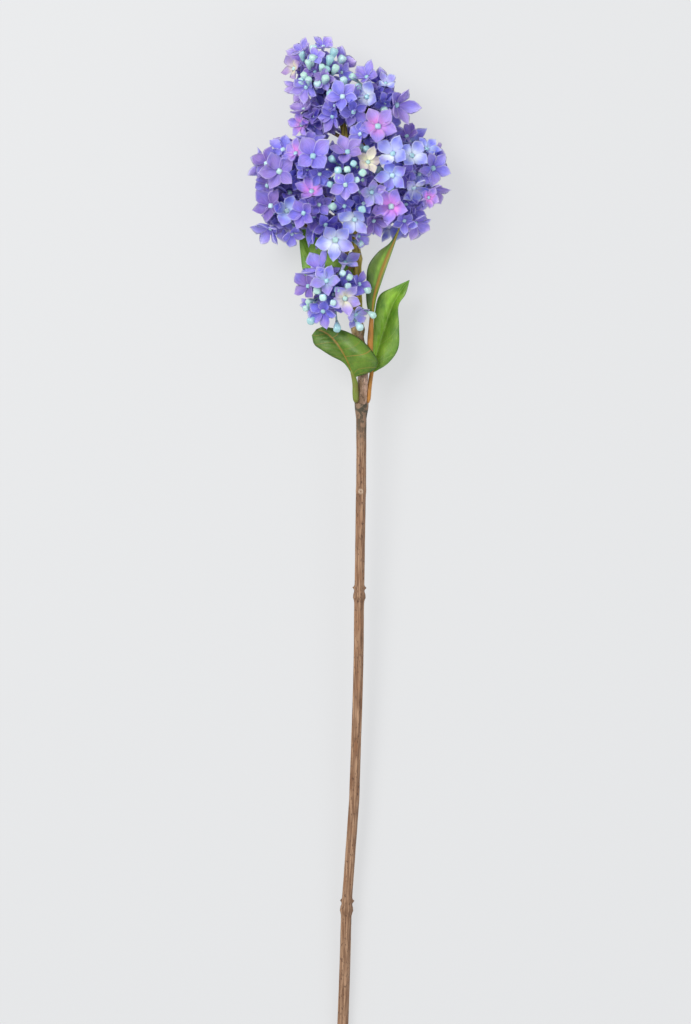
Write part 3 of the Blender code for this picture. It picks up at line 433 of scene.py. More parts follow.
LEAF_THICKNESS = 0.6
LEAF_BOW = 0.14
EDGE_WAVE = 0.045
LEAVES = {
    "leaf_left_back": {
        "left": [(3.0, 541.5, -5.6), (-10.0, 545.5, -9.0), (-24.5, 549.5, -12.6), (-32.5, 555.5, -15.4),
                 (-35.2, 570.0, -18.0), (-36.5, 586.0, -20.8), (-36.6, 600.0, -23.0)],
        "rib": [(3.7, 540.5, -5.8), (-4.0, 547.0, -9.6), (-14.0, 552.5, -13.6), (-23.0, 559.5, -16.4),
                (-28.5, 571.5, -18.6), (-32.5, 586.0, -21.6), (-36.0, 601.0, -23.6)],
        "right": [(4.4, 541.5, -5.6), (4.2, 552.0, -8.6), (2.5, 561.0, -11.8), (-1.0, 569.5, -14.6),
                  (-8.5, 579.5, -17.4), (-21.5, 591.5, -20.4), (-35.4, 600.2, -23.0)],
        "petiole": [(4.9, 530.0, -4.6, 1.1), (4.5, 536.0, -5.4, 1.1), (3.2, 544.0, -7.0, 1.0)],
    },
    "leaf_right_upper": {
        "left": [(14.2, 522.0, 2.9), (11.2, 535.0, 5.2), (11.0, 548.0, 6.9), (12.4, 560.5, 8.0),
                 (19.0, 570.0, 9.0), (27.8, 577.0, 10.3), (34.6, 588.6, 12.6)],
        "rib": [(15.0, 521.0, 2.5), (15.9, 537.3, 3.4), (19.6, 550.5, 4.2), (23.2, 560.5, 5.4),
                (26.8, 569.8, 7.0), (30.7, 578.8, 9.4), (35.0, 589.6, 12.6)],
        "right": [(15.8, 522.0, 2.1), (18.0, 537.3, -0.8), (21.8, 549.5, -1.6), (25.4, 560.0, 0.4),
                  (28.8, 569.5, 3.0), (31.9, 578.3, 7.0), (35.4, 588.8, 12.2)],
        "petiole": [(13.3, 496.0, 2.8, 1.6), (13.6, 503.0, 3.0, 1.8), (13.9, 512.0, 3.2, 1.8),
                    (15.0, 529.0, 3.6, 1.1)],
    },
    "leaf_right_lower": {
        "left": [(13.8, 487.0, -4.5), (15.0, 500.0, -6.0), (16.0, 514.0, -7.0), (17.0, 528.0, -7.6),
                 (20.5, 541.0, -7.6), (31.0, 546.8, -6.4), (40.8, 551.2, -4.7)],
        "rib": [(14.5, 485.5, -4.9), (18.5, 500.0, -8.6), (22.0, 512.0, -10.4), (26.0, 524.0, -10.8),
                (30.0, 534.5, -9.8), (35.5, 543.8, -7.4), (41.3, 551.6, -4.7)],
        "right": [(15.5, 486.0, -4.4), (26.5, 493.0, -3.9), (33.6, 503.5, -3.6), (34.2, 519.0, -3.4),
                  (33.8, 533.0, -3.8), (38.8, 541.5, -4.4), (41.5, 550.8, -4.7)],
        "petiole": [(12.8, 466.5, -0.1, 1.4), (13.3, 476.0, -1.9, 1.4), (14.6, 485.0, -4.5, 1.3),
                    (16.4, 494.0, -7.0, 0.9)],
    },
    "leaf_left_front": {
        "left": [(2.0, 483.0, 5.4), (-4.5, 492.5, 7.2), (-13.5, 497.5, 7.9), (-20.5, 502.0, 6.6),
                 (-25.5, 506.0, 3.9), (-27.2, 512.5, -0.5)],
        "rib": [(2.8, 481.5, 4.9), (-2.8, 494.5, 6.5), (-7.5, 503.0, 7.1), (-12.4, 509.7, 5.7),
                (-18.0, 514.5, 1.9), (-24.0, 516.8, -1.7)],
        "right": [(3.6, 483.0, 5.4), (15.5, 487.0, 11.2), (19.0, 494.0, 11.4), (10.5, 506.5, 9.9),
                  (-3.0, 515.0, 5.9), (-19.0, 518.8, -0.3)],
        "petiole": [(3.4, 466.5, 4.7, 1.8), (3.3, 472.0, 4.8, 1.9), (3.0, 479.0, 5.0, 1.7),
                    (0.8, 488.0, 5.7, 1.1)],
    },
}
BLADE_ROWS, BLADE_STEPS = 84, 30
SIDE_VEINS = 8.0
VEIN_SLANT = 0.28
COLLAR_REACH = 470.0
COLLAR_DEPTH = 1.4
PETIOLE_SWELL = 1.15
# How orange the rib and the stalk are, how far the rib's colour reaches on the left and right
# halves, how plain the side veins are, the tone of the left and right halves, and lighter or
# darker streaks: their place across (-1 to 1) and along (0 to 1), widths, and how much they add.
# The tones and streaks are painted light and shade over the blades' own green: lit and shaded
# halves, painted highlight streaks, and a painted shadow along a crease.
LEAF_LOOKS = {
    "leaf_left_back": (0.05, 0.2, (0.08, 0.08), 0.5, (1.6, 1.45), [
        (-0.1, 0.45, 0.07, 0.12, 0.7), (0.45, 0.5, 0.08, 0.22, 0.4)]),
    "leaf_right_upper": (1.0, 1.0, (0.12, 0.9), 0.15, (0.5, 1.25), [(-0.26, 0.5, 0.16, 0.4, 0.75)]),
    "leaf_right_lower": (0.0, 1.0, (0.08, 0.08), 0.4, (1.45, 1.2), [
        (-0.32, 0.66, 0.10, 0.14, 0.45), (0.12, 0.5, 0.09, 0.34, -0.45),
        (-0.8, 0.3, 0.3, 0.3, -0.35)]),
    "leaf_left_front": (0.9, 0.15, (0.07, 0.07), 0.9, (0.66, 0.74), [
        (0.2, 0.55, 0.14, 0.2, 0.08), (-0.15, 0.6, 0.06, 0.2, -0.2)]),
}


def lifted(point):
    """A leaf's point, its lift turned into the height above the surface."""
    return Vector((point[0], point[1], shoot_height(point[1]) + point[2]))


def smooth_rail(points, count):
    """count points along a smooth curve through the rail's own points (Catmull-Rom)."""
    rail = np.array([lifted(point) for point in points])
    knots = np.vstack([2 * rail[0] - rail[1], rail, 2 * rail[-1] - rail[-2]])
    spots = np.linspace(0, len(points) - 1, count)
    first = np.minimum(spots.astype(int), len(points) - 2)
    t = (spots - first)[:, None]
    a, b, c, d = (knots[first + k] for k in range(4))
    return 0.5 * (2 * b + (c - a) * t + (2 * a - 5 * b + 4 * c - d) * t ** 2
                  + (3 * b - a - 3 * c + d) * t ** 3)


def leaf_grid(leaf, rows, across):
    """Points of a blade on rows and at the given shares from its left edge to its right edge.

    Each half bows up between rib and edge, most in the middle of the blade, and the edges
    wave a little.
    """
    rails = [smooth_rail(leaf[name], rows) for name in ("left", "rib", "right")]
    along = np.linspace(0, 1, rows)
    grid = np.empty((rows, len(across), 3))
    for column, u in enumerate(across):
        edge = rails[0] if u < 0 else rails[2]
        share = abs(u)
        line = rails[1] * (1 - share) + edge * share
        width = np.linalg.norm(edge - rails[1], axis=1)
        line[:, 2] += LEAF_BOW * width * 4 * share * (1 - share)
        line[:, 2] += EDGE_WAVE * width * share * np.sin(along * 15 + (0 if u < 0 else 2))
        grid[:, column] = line
    return grid


def blade_rings(leaf):
    """A leaf's blade as one skin: out along its upper face and back along its lower one.

    Relief is added to the grid: a ridge on the midrib, a fine furrow on every side vein, which
    slants towards the tip as it nears the edge, and the blade puffed up a little between them.
    """
    upper = np.linspace(-1, 1, BLADE_STEPS + 1)
    across = np.concatenate([upper, upper[-2:0:-1]])
    side = np.concatenate([np.ones(BLADE_STEPS + 1), -np.ones(BLADE_STEPS - 1)])
    side[[0, BLADE_STEPS]] = 0.0
    grid = leaf_grid(leaf, BLADE_ROWS, across)
    v, u = np.meshgrid(np.linspace(0, 1, BLADE_ROWS), across, indexing="ij")
    phase = (v - VEIN_SLANT * np.abs(u)) * SIDE_VEINS
    off = np.abs(phase - np.round(phase))
    fade = np.sin(np.pi * np.clip(v * 0.9 + 0.05, 0, 1)) * (1 - np.abs(u) ** 3)
    relief = 0.28 * (np.cos(2 * np.pi * phase) * -0.5 + 0.5) * fade
    relief -= 0.22 * bump(off, 0.0, 0.05) * fade
    relief += 0.35 * bump(u, 0.0, 0.07) * (1 - v)
    grid[..., 2] += relief + side * LEAF_THICKNESS / 2 * np.clip(12 * v * (1 - v), 0.3, 1.0)
    return grid[None], np.stack([0.5 + 0.5 * u, v], -1)[None]


def halves(spread, left, right, streaks=()):
    """A value over a blade: left and right of the rib its own, plus bell-shaped streaks."""
    u, v = 2 * spread[..., 0] - 1, spread[..., 1]
    value = left + (right - left) * (0.5 + 0.5 * np.tanh(9 * u))
    for across, along, width, length, amount in streaks:
        value = value + amount * bump(u, across, width) * bump(v, along, length)
    return value[..., None]


def petiole_rings(points, around=14, rows=26):
    """A leaf's stalk: a round rod along a smooth line, thinner where it enters the blade.

    A stalk that starts at the collar runs down into it with a rounded foot, close to the shoot.
    """
    line = smooth_rail([point[:3] for point in points], rows)
    share = np.linspace(0, len(points) - 1, rows)
    radii = np.interp(share, np.arange(len(points)), [point[3] for point in points])
    if points[0][1] < COLLAR_REACH:
        foot = np.exp(-0.25 * (line[:, 1] - line[0, 1]))
        line[:, 0] += 0.09 * (STEM_PATH[-1][0] - line[0, 0]) * foot
        line[0, 1] -= COLLAR_DEPTH
        radii[0] *= 0.5
    radii = np.repeat(radii[:, None], around, 1)
    radii *= PETIOLE_SWELL + 0.06 * np.cos(3 * angles_round(around))
    return rings_round(line, radii)[None]


def leaf_green():
    """Smooth waxy green, darker towards the edge, with an orange-brown rib and paler veins, under
    painted light and shade.
    """
    finish, tree, shader = new_finish("leaf_green", Roughness=0.48, Subsurface_Weight=0.12,
                                      Subsurface_Scale=0.002, Coat_Weight=0.04,
                                      Coat_Roughness=0.35)
    shader.inputs["Subsurface Radius"].default_value = (0.4, 1.0, 0.15)
    spot = put(tree, "UVMap", uv_map="map").outputs[0]
    u, v = put(tree, "SeparateXYZ", spot).outputs[:2]
    out = maths(tree, "ABSOLUTE", maths(tree, "MULTIPLY_ADD", u, 2.0, -1.0))
    slant = maths(tree, "MULTIPLY_ADD", out, -VEIN_SLANT, v)
    phase = maths(tree, "MULTIPLY", slant, SIDE_VEINS)
    off = maths(tree, "ABSOLUTE", maths(tree, "SUBTRACT", phase, maths(tree, "ROUND", phase)))
    # Each side vein shows by its own share, drawn from its number and its side of the rib
    right = maths(tree, "GREATER_THAN", u, 0.5)
    drawn = maths(tree, "MULTIPLY_ADD", maths(tree, "ROUND", phase), 0.618,
                  maths(tree, "MULTIPLY_ADD", right, 0.41, 0.15))
    shown = ramp(tree, maths(tree, "FRACT", drawn), 0.3, 0.7, 0.15, 1.0)
    vein = maths(tree, "MULTIPLY", ramp(tree, off, 0.012, 0.065, 1.0, 0.0), shown)
    vein = maths(tree, "MULTIPLY", vein, attribute(tree, "veined"))
    rib = ramp(tree, out, 0.02, attribute(tree, "ribbed"), 1.0, 0.0)
    place = object_place(tree)
    cloud = noise(tree, place, 60.0, 4.0)
    fibre = noise(tree, stretched(tree, spot, (30.0, 6.0, 1.0)), 3.0, 4.0)
    green = mix(tree, ramp(tree, cloud, 0.35, 0.65), paint(70, 114, 24), paint(120, 158, 44))
    green = mix(tree, ramp(tree, fibre, 0.4, 0.7, 0.0, 0.35), green, paint(148, 178, 62))
    green = mix(tree, ramp(tree, out, 0.75, 1.0, 0.0, 0.45), green, paint(54, 96, 30))
    warm = attribute(tree, "warm")
    vein_tone = mix(tree, warm, paint(146, 172, 84), paint(186, 146, 62))
    rib_tone = mix(tree, warm, paint(134, 166, 74), paint(186, 132, 50))
    green = mix(tree, vein, green, vein_tone)
    green = mix(tree, maths(tree, "MULTIPLY", rib, maths(tree, "MULTIPLY_ADD", warm, 0.5, 0.35)),
                green, rib_tone)
    # Painted light and shade: the blade's shade value lightens and darkens its halves and its streaks
    green = shaded(tree, green, attribute(tree, "shade"))
    tree.links.new(green, shader.inputs["Base Color"])
    cells = put(tree, "TexVoronoi", feature="DISTANCE_TO_EDGE")
    tree.links.new(place, cells.inputs["Vector"])
    cells.inputs["Scale"].default_value = 700.0
    add_bump(tree, shader, ramp(tree, cells.outputs[0], 0.0, 0.25), 0.0001, 0.6)
    return finish


def petiole_skin():
    """Skin of a leaf's stalk: green, or orange-brown where it is warm, a little blotched."""
    finish, tree, shader = new_finish("petiole_skin", Roughness=0.45)
    streaks, blotches = add_grain(tree, 700.0, 0.3)[:2]
    share = maths(tree, "ADD", attribute(tree, "warm"),
                  maths(tree, "MULTIPLY_ADD", blotches, 0.8, -0.4))
    skin = mix(tree, ramp(tree, share, 0.2, 0.8), paint(116, 132, 44), paint(190, 128, 50))
    skin = mix(tree, ramp(tree, blotches, 0.35, 0.5, 0.5, 0.0), skin, paint(120, 96, 40))
    tree.links.new(skin, shader.inputs["Base Color"])
    add_bump(tree, shader, streaks, 0.0002, 0.5)
    return finish


leaf_finishes = [leaf_green(), petiole_skin()]
for name, leaf in LEAVES.items():
    blade, spread = blade_rings(leaf)
    warm_rib, warm_stalk, rib_reach, veined, tones, streaks = LEAF_LOOKS[name]
    # The blade's shade value carries the painted light and shade of its tones and streaks
    piece = assemble(name + "_blade",
                     [closed_skins(blade, 0, map=spread, warm=[warm_rib], veined=[veined],
                                   ribbed=halves(spread, *rib_reach),
                                   shade=halves(spread, *tones, streaks)),
                      closed_skins(petiole_rings(leaf["petiole"]), 1, warm=[warm_stalk])],
                     leaf_finishes)
    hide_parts(name)
    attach(piece, "root")

# Where the flowers grow. Every spray is a rounded dome of florets and buds round the end of
# its own twig. The ones that show from the front have set places, and the rest of each dome
# is filled evenly. Each is nudged until it clears the other sprays, the leaves and the shoot.

GAP = 0.35
SEED = 41
PETAL_WAIST = 0.17
PETAL_SIDE_AT = 0.52
PETAL_TOP_LIFT = 0.35
PETAL_UNDER_DROP = 0.55
PETAL_HALF_WIDTH = {4: 0.42, 5: 0.36}
BEAD_HEIGHT = 1.3
BUD_NECK_RADIUS = 0.85
BUD_RADIUS = 2.1
BUD_LENGTH = 7.0
CORE_RADIUS = 3.6
INNER_SHARE = 0.62
TWIG_RADIUS = 1.3
FACING_FRONT = 0.5
FACING_FILL = 0.25
CUP_RANGE = (0.22, 0.55)
FRONT_ATTEMPTS = 90
FILL_ATTEMPTS = 60
RIM_SHARE = 0.96
RIM_RISE = 0.28
DOME_DIRECTIONS = 44
FILL_RADII = (11.0, 13.5)
SMALL_DOME = 13.0
SMALL_DOME_SHARE = 0.88
OWN_SPACING = 0.61
FRONT_SPACING = 0.6
DOME_SPACING = 0.7
GUARD_LIFT = 0.7
DOME_FORWARD = 6.0
TIP_FORWARD = 20.0
TWIG_SHARES = (0.7, 0.55, 0.85, 0.4, 1.0, 0.25, 1.2, 0.1, 1.4)
SPRAYS = {
    "spray_tip": {
        "dome": (-22.5, 696.0, -5.0, 18.0, 110),
        "florets": [
            (-33.0, 710.5, 8.5, 5, 80, "mauve"), (-19.0, 714.0, 8.5, 4, 60, "violet"),
            (-39.5, 698.5, 9.0, 4, 120, "cream_mauve"), (-31.0, 685.0, 10.0, 5, 200, "violet"),
            (-24.0, 705.5, 7.0, 4, 20, "violet"), (-6.5, 695.5, 8.5, 4, 50, "violet"),
            (-19.0, 690.0, 8.5, 5, 80, "mauve"),
        ],
        "buds": [(-13.0, 708.5), (-6.5, 705.5), (-32.5, 707.0), (-29.0, 702.0), (-25.5, 711.0),
                 (-20.0, 698.5), (-31.0, 693.5), (-23.0, 688.0), (-18.0, 691.5), (-15.0, 704.0),
                 (-28.5, 690.5), (-11.7, 698.0), (-26.0, 704.5), (-33.7, 690.0), (-17.0, 697.0)],
        "bud_lean": (0.15, 1.1, 0.3),
        "inner": [(-25.0, 696.0, 8.5, 4, 20, "mauve"), (-16.0, 701.0, 8.0, 4, 70, "violet")],
        "tints": ("violet", "mauve"),
    },
    "spray_upper_front": {
        "dome": (-3.0, 672.0, 9.0, 13.0, 95),
        "florets": [(-5.5, 677.0, 12.0, 5, 48, "violet"), (2.0, 666.5, 10.5, 5, 34, "deep"),
                    (-12.5, 664.0, 10.0, 5, 100, "deep")],
        "inner": [(-11.0, 672.0, 9.5, 5, 130, "deep"), (2.0, 675.0, 9.5, 5, 10, "violet")],
        "buds": [(-14.5, 680.5), (-4.5, 686.5), (4.5, 683.0)],
        "tints": ("violet", "deep", "blue"),
    },
    "spray_upper_left": {
        "dome": (-25.0, 662.0, -2.0, 10.0, 100),
        "florets": [(-32.5, 670.0, 10.5, 4, 150, "mauve"), (-34.0, 659.5, 10.0, 5, 170, "pink"),
                    (-20.0, 671.5, 10.5, 5, 100, "deep"), (-16.5, 660.0, 9.5, 5, 300, "deep")],
        "inner": [(-25.0, 665.0, 9.0, 5, 40, "deep")],
        "buds": [],
        "tints": ("mauve", "violet"),
    },
    "spray_upper_right": {
        "dome": (20.0, 677.0, 2.0, 14.0, 100),
        "florets": [(11.5, 692.0, 10.5, 5, 68, "violet"), (12.0, 677.5, 12.5, 4, 35, "pale"),
                    (32.0, 672.5, 12.5, 5, 63, "mauve"), (24.5, 687.5, 7.5, 4, 40, "pale")],
        "inner": [(24.0, 674.0, 9.5, 5, 50, "violet")],
        "buds": [(3.0, 691.0), (13.5, 684.0), (23.5, 668.5)],
        "tints": ("violet", "blue", "pale"),
    },
    "spray_middle_right": {
        "dome": (16.5, 651.5, 14.0, 13.0, 80),
        "florets": [(19.0, 656.0, 14.0, 5, 48, "pink"), (6.5, 651.0, 10.0, 5, 60, "violet")],
        "buds": [(4.5, 644.5)],
        "tints": ("violet", "deep"),
    },
    "spray_left": {
        "dome": (-45.5, 627.0, 3.0, 16.5, 95),
        "florets": [
            (-49.5, 625.5, 14.0, 5, 105, "mauve"), (-58.5, 631.5, 12.0, 4, 150, "plum"),
            (-47.0, 641.0, 12.0, 5, 80, "violet"), (-36.0, 622.0, 10.5, 5, 20, "deep"),
            (-58.0, 616.5, 11.0, 4, 200, "plum"),
        ],
        "inner": [(-44.0, 630.0, 10.0, 5, 45, "plum")],
        "buds": [],
        "tints": ("mauve", "violet", "plum"),
    },
    "spray_left_front": {
        "dome": (-27.0, 630.5, 16.0, 15.0, 80),
        "florets": [(-26.0, 635.0, 14.0, 4, 125, "violet"), (-38.0, 637.5, 10.0, 5, 70, "pink"),
                    (-21.5, 623.0, 9.0, 5, 300, "deep")],
        "inner": [(-30.0, 627.0, 9.5, 5, 80, "deep")],
        "buds": [],
        "tints": ("deep", "violet"),
    },
    "spray_low_left": {
        "dome": (-46.5, 599.0, 0.0, 15.0, 100),
        "florets": [(-55.5, 602.0, 12.5, 5, 130, "plum"), (-44.5, 598.5, 11.0, 4, 250, "blue"),
                    (-41.0, 583.0, 9.0, 4, 270, "violet"), (-60.0, 605.0, 9.0, 4, 170, "plum")],
        "buds": [],
        "tints": ("violet", "deep", "plum"),
    },
    "spray_low_left_front": {
        "dome": (-25.5, 600.0, 14.0, 15.0, 85),
        "florets": [(-27.0, 611.0, 12.0, 5, 100, "pink"), (-32.5, 596.0, 11.0, 5, 110, "deep"),
                    (-17.5, 588.5, 10.5, 5, 60, "deep")],
        "inner": [(-22.0, 602.0, 9.5, 5, 20, "deep")],
        "buds": [(-14.5, 600.5)],
        "tints": ("deep", "violet"),
    },
    "spray_centre": {
        "dome": (1.0, 622.0, 13.0, 23.0, 50),
        "florets": [(-2.0, 638.0, 12.5, 5, 50, "mauve"), (12.0, 631.0, 10.0, 5, 71, "cream"),
                    (-3.5, 615.0, 11.0, 5, 57, "violet"), (14.5, 610.5, 10.5, 5, 20, "lilac")],
        "inner": [(-8.0, 629.0, 10.5, 5, 30, "deep"), (4.0, 628.0, 10.0, 5, 100, "deep"),
                  (8.5, 619.0, 10.0, 5, 0, "deep"), (-10.0, 615.0, 10.0, 5, 60, "deep")],
        "buds": [(-2.0, 625.0), (-7.5, 624.5), (4.0, 618.5), (10.0, 638.5), (6.5, 641.0),
                 (-11.5, 632.0), (-9.0, 620.0), (-13.0, 616.0), (7.5, 623.0), (2.0, 629.0)],
        "tints": ("deep", "violet"),
    },
    "spray_right_front": {
        "dome": (33.0, 629.0, 10.0, 19.0, 70),
        "florets": [(29.5, 637.0, 12.5, 4, 60, "pale"), (42.5, 636.0, 11.0, 4, 50, "pale"),
                    (29.0, 622.0, 12.0, 5, 30, "blue"), (44.0, 614.5, 11.0, 5, 80, "pale")],
        "inner": [(36.0, 624.0, 10.0, 5, 60, "deep")],
        "buds": [(28.5, 614.0), (20.0, 626.5)],
        "tints": ("blue", "pale", "deep"),
    },
    "spray_right": {
        "dome": (47.0, 629.0, -3.0, 16.0, 95),
        "florets": [(57.5, 628.5, 12.5, 5, 340, "violet"), (56.5, 614.5, 11.0, 5, 300, "mauve"),
                    (39.5, 651.0, 10.5, 4, 80, "plum"), (53.5, 642.0, 10.0, 5, 60, "blue"),
                    (48.0, 624.0, 11.0, 5, 20, "blue")],
        "inner": [(53.0, 632.0, 10.0, 5, 10, "violet")],
        "buds": [(53.5, 611.5)],
        "tints": ("violet", "blue", "mauve"),
    },
    "spray_low_right": {
        "dome": (36.0, 602.5, 5.0, 17.0, 95),
        "florets": [(28.5, 601.0, 14.0, 5, 50, "pink"), (50.5, 606.5, 9.0, 4, 320, "pink"),
                    (45.0, 590.0, 11.0, 4, 260, "mauve"), (37.5, 591.5, 9.0, 5, 200, "violet")],
        "inner": [(38.0, 603.0, 9.5, 5, 30, "deep")],
        "buds": [],
        "tints": ("violet", "mauve"),
    },
    "spray_low_middle": {
        "dome": (8.0, 602.5, 12.0, 17.0, 75),
        "florets": [(16.5, 590.5, 10.0, 5, 300, "plum"), (3.0, 592.0, 12.0, 4, 315, "pale"),
                    (-4.5, 601.0, 10.0, 5, 100, "deep")],
        "inner": [(9.0, 603.0, 9.5, 5, 80, "deep")],
        "buds": [(8.0, 598.5), (7.5, 611.5)],
        "tints": ("deep", "violet"),
    },
    "spray_lowest": {
        "dome": (-10.0, 583.5, 8.0, 15.0, 75),
        "florets": [(-10.5, 578.0, 14.5, 5, 50, "pale"), (5.5, 581.0, 9.5, 5, 250, "violet")],
        "buds": [(6.0, 576.0)],
        "tints": ("deep", "blue"),
    },
    "spray_loose_cluster": {
        "dome": (-11.5, 543.0, 9.0, 19.0, 85),
        "florets": [
            (-16.5, 549.0, 11.5, 5, 60, "lilac"), (-4.0, 537.0, 11.5, 5, 200, "cream_lilac"),
            (3.5, 526.5, 10.0, 5, 20, "lilac"), (-4.0, 562.5, 10.5, 5, 40, "lilac"),
            (-29.5, 546.0, 10.5, 4, 200, "plum"), (-19.0, 528.5, 11.0, 5, 280, "deep"),
            (6.0, 547.5, 9.5, 4, 60, "deep"),
        ],
        "inner": [(-12.0, 540.0, 9.0, 5, 30, "violet"), (-3.0, 549.0, 9.0, 5, 70, "deep")],
        "buds": [(-6.0, 553.5), (-1.0, 551.5), (-22.0, 542.5), (-18.5, 538.0), (-28.5, 535.5),
                 (-30.5, 531.0), (-26.0, 524.0), (-9.5, 518.0), (5.0, 519.5), (13.5, 527.0),
                 (11.0, 543.0), (-3.0, 545.0), (-9.5, 543.0), (-12.0, 534.5)],
        "tints": ("lilac", "violet"),
    },
}
BACK_SPRAYS = {
    "top": ((-12.0, 678.0, -12.0, 12.0, 100), ("violet", "deep")),
    "upper_right": ((16.5, 668.5, -14.0, 13.0, 100), ("violet", "blue")),
    "left": ((-35.5, 630.5, -15.0, 17.0, 90), ("violet", "mauve", "plum")),
    "right": ((37.0, 635.0, -16.0, 17.0, 90), ("violet", "blue", "pale")),
    "centre": ((1.0, 636.0, -18.0, 16.0, 90), ("violet", "deep")),
    "low_left": ((-24.0, 599.0, -15.0, 16.0, 90), ("violet", "mauve", "pale")),
    "low_right": ((20.0, 601.0, -15.0, 16.0, 90), ("violet", "deep", "pale")),
}
for name, (dome, tints) in BACK_SPRAYS.items():
    SPRAYS["spray_back_" + name] = {"dome": dome, "florets": [], "buds": [], "tints": tints}


def shoot_points(path):
    """The middle points of a stem path, and its radii."""
    points = [Vector((x, y, shoot_height(y))) for x, y, _ in path]
    return points, [radius for _, _, radius in path]


def turned(axis, turn):
    """Axes of a floret that faces along axis, its first petal towards turn in the front view."""
    ref = Vector((math.cos(turn), math.sin(turn), 0.0))
    side = ref - axis * ref.dot(axis)
    if side.length < 0.25:
        ref = Vector((0.0, 0.0, 1.0))
        side = ref - axis * ref.dot(axis)
    side.normalize()
    return Matrix((side, axis.cross(side), axis)).transposed()


def floret_shape(spot, margin=0.0):
    """Corners and triangles of a floret: pointed petals round a raised bead, on a tapered tube.

    margin swells it, to test how near it comes to its neighbours.
    """
    count = spot["petals"]
    radius = spot["radius"] + margin
    half = PETAL_HALF_WIDTH[count] * radius
    cup = spot["cup"]
    waist = PETAL_WAIST * radius + margin
    root = spot["basis"].transposed() @ (spot["root"] - spot["centre"])
    corners = [Vector((0.0, 0.0, BEAD_HEIGHT)), root]
    at = PETAL_SIDE_AT * radius
    level = 0.35 * cup * at
    for i in range(count):
        middle = 2 * math.pi * i / count
        notch = middle + math.pi / count
        out = Vector((math.cos(middle), math.sin(middle), 0.0))
        side = Vector((-out.y, out.x, 0.0))
        corners.append(Vector((waist * math.cos(notch), waist * math.sin(notch), 0.0)))
        corners.append(out * at - side * half + Vector((0.0, 0.0, cup * at)))
        corners.append(out * radius + Vector((0.0, 0.0, cup * radius)))
        corners.append(out * at + side * half + Vector((0.0, 0.0, cup * at)))
        corners.append(out * at * 0.85 + Vector((0.0, 0.0, level + PETAL_TOP_LIFT + margin)))
        corners.append(out * at * 0.85 + Vector((0.0, 0.0, level - PETAL_UNDER_DROP - margin)))
    triangles = []
    for i in range(count):
        here = 2 + 6 * i
        before = 2 + 6 * ((i - 1) % count)
        n1, left, tip, right, top, under = range(here, here + 6)
        triangles += [(0, before, top), (before, left, top), (left, tip, top), (tip, right, top),
                      (right, n1, top), (n1, 0, top)]
        triangles += [(before, under, left), (left, under, tip), (tip, under, right),
                      (right, under, n1), (n1, under, before), (before, 1, n1)]
    return place(corners, spot["basis"], spot["centre"]), triangles


def bud_shape(spot, margin=0.0):
    """Corners and triangles of a closed bud: a four-sided club on a thin stalk."""
    length = spot["radius"] / BUD_RADIUS * BUD_LENGTH
    root = spot["basis"].transposed() @ (spot["root"] - spot["centre"])
    rings = [(Vector((0.0, 0.0, -0.7 * length)), BUD_NECK_RADIUS), (Vector(), spot["radius"])]
    corners = []
    for middle, size in rings:
        for i in range(4):
            angle = math.pi * (0.25 + i / 2)
            step = Vector((math.cos(angle), math.sin(angle), 0.0)) * (size + margin)
            corners.append(middle + step)
    corners += [Vector((0.0, 0.0, 0.45 * spot["radius"] + margin)), root]
    triangles = []
    for i in range(4):
        j = (i + 1) % 4
        triangles += [(i, j, 4 + j), (i, 4 + j, 4 + i), (4 + i, 4 + j, 8), (j, i, 9)]
    return place(corners, spot["basis"], spot["centre"]), triangles


def place(corners, basis, centre):
    """Corners turned by a basis and moved to a centre."""
    return [basis @ corner + centre for corner in corners]


def rod_shape(start, end, start_radius, end_radius, sides=5):
    """Corners and triangles of a tapered rod between two points."""
    axis = (end - start).normalized()
    basis = turned(axis, 0.7)
    corners = []
    for middle, size in ((start, start_radius), (end, end_radius)):
        for i in range(sides):
            angle = 2 * math.pi * i / sides
            corners.append(middle + basis @ Vector((math.cos(angle), math.sin(angle), 0)) * size)
    triangles = [(0, i + 1, i) for i in range(1, sides - 1)]
    triangles += [(sides, sides + i, sides + i + 1) for i in range(1, sides - 1)]
    for i in range(sides):
        j = (i + 1) % sides
        triangles += [(i, j, sides + j), (i, sides + j, sides + i)]
    return corners, triangles


def grid_triangles(rows, columns):
    """Triangles of a grid of points, each square cut along the same diagonal."""
    triangles = []
    for row in range(rows - 1):
        for column in range(columns - 1):
            a = row * columns + column
            triangles += [(a, a + 1, a + columns + 1), (a, a + columns + 1, a + columns)]
    return triangles


def leaf_guard(leaf):
    """The blade as two sheets, a little above and a little below it, that florets stay off."""
    grid = leaf_grid(leaf, 9, np.linspace(-1, 1, 5))
    rows, columns = grid.shape[:2]
    sheet = [Vector(p) for p in grid.reshape(-1, 3)]
    triangles = grid_triangles(rows, columns)
    lift = Vector((0.0, 0.0, GUARD_LIFT))
    corners = [p + lift for p in sheet] + [p - lift for p in sheet]
    size = len(sheet)
    return corners, triangles + [tuple(k + size for k in face) for face in triangles]


def ball_round(corners):
    """The middle of some corners, and the radius of the ball round them."""
    middle = sum(corners, Vector()) / len(corners)
    return middle, max((corner - middle).length for corner in corners)


class Crowd:
    """What is already in place, so that each new piece can keep clear of other nodes."""

    def __init__(self):
        self.members = []

    def add(self, owner, shape):
        """Put in a shape that belongs to an owner."""
        corners, triangles = shape
        tree = BVHTree.FromPolygons(corners, triangles, all_triangles=True)
        self.members.append((owner, *ball_round(corners), tree))

    def free(self, owner, shape):
        """True where a shape crosses nothing that belongs to another owner."""
        corners, triangles = shape
        middle, reach = ball_round(corners)
        tree = None
        for other, centre, size, other_tree in self.members:
            if other == owner or (centre - middle).length > size + reach:
                continue
            if tree is None:
                tree = BVHTree.FromPolygons(corners, triangles, all_triangles=True)
            if tree.overlap(other_tree):
                return False
        return True


def add_rods(crowd, owner, points, radii):
    """Put a chain of rods into the crowd."""
    for a, b, size_a, size_b in zip(points, points[1:], radii, radii[1:]):
        crowd.add(owner, rod_shape(a, b, size_a, size_b, 8))


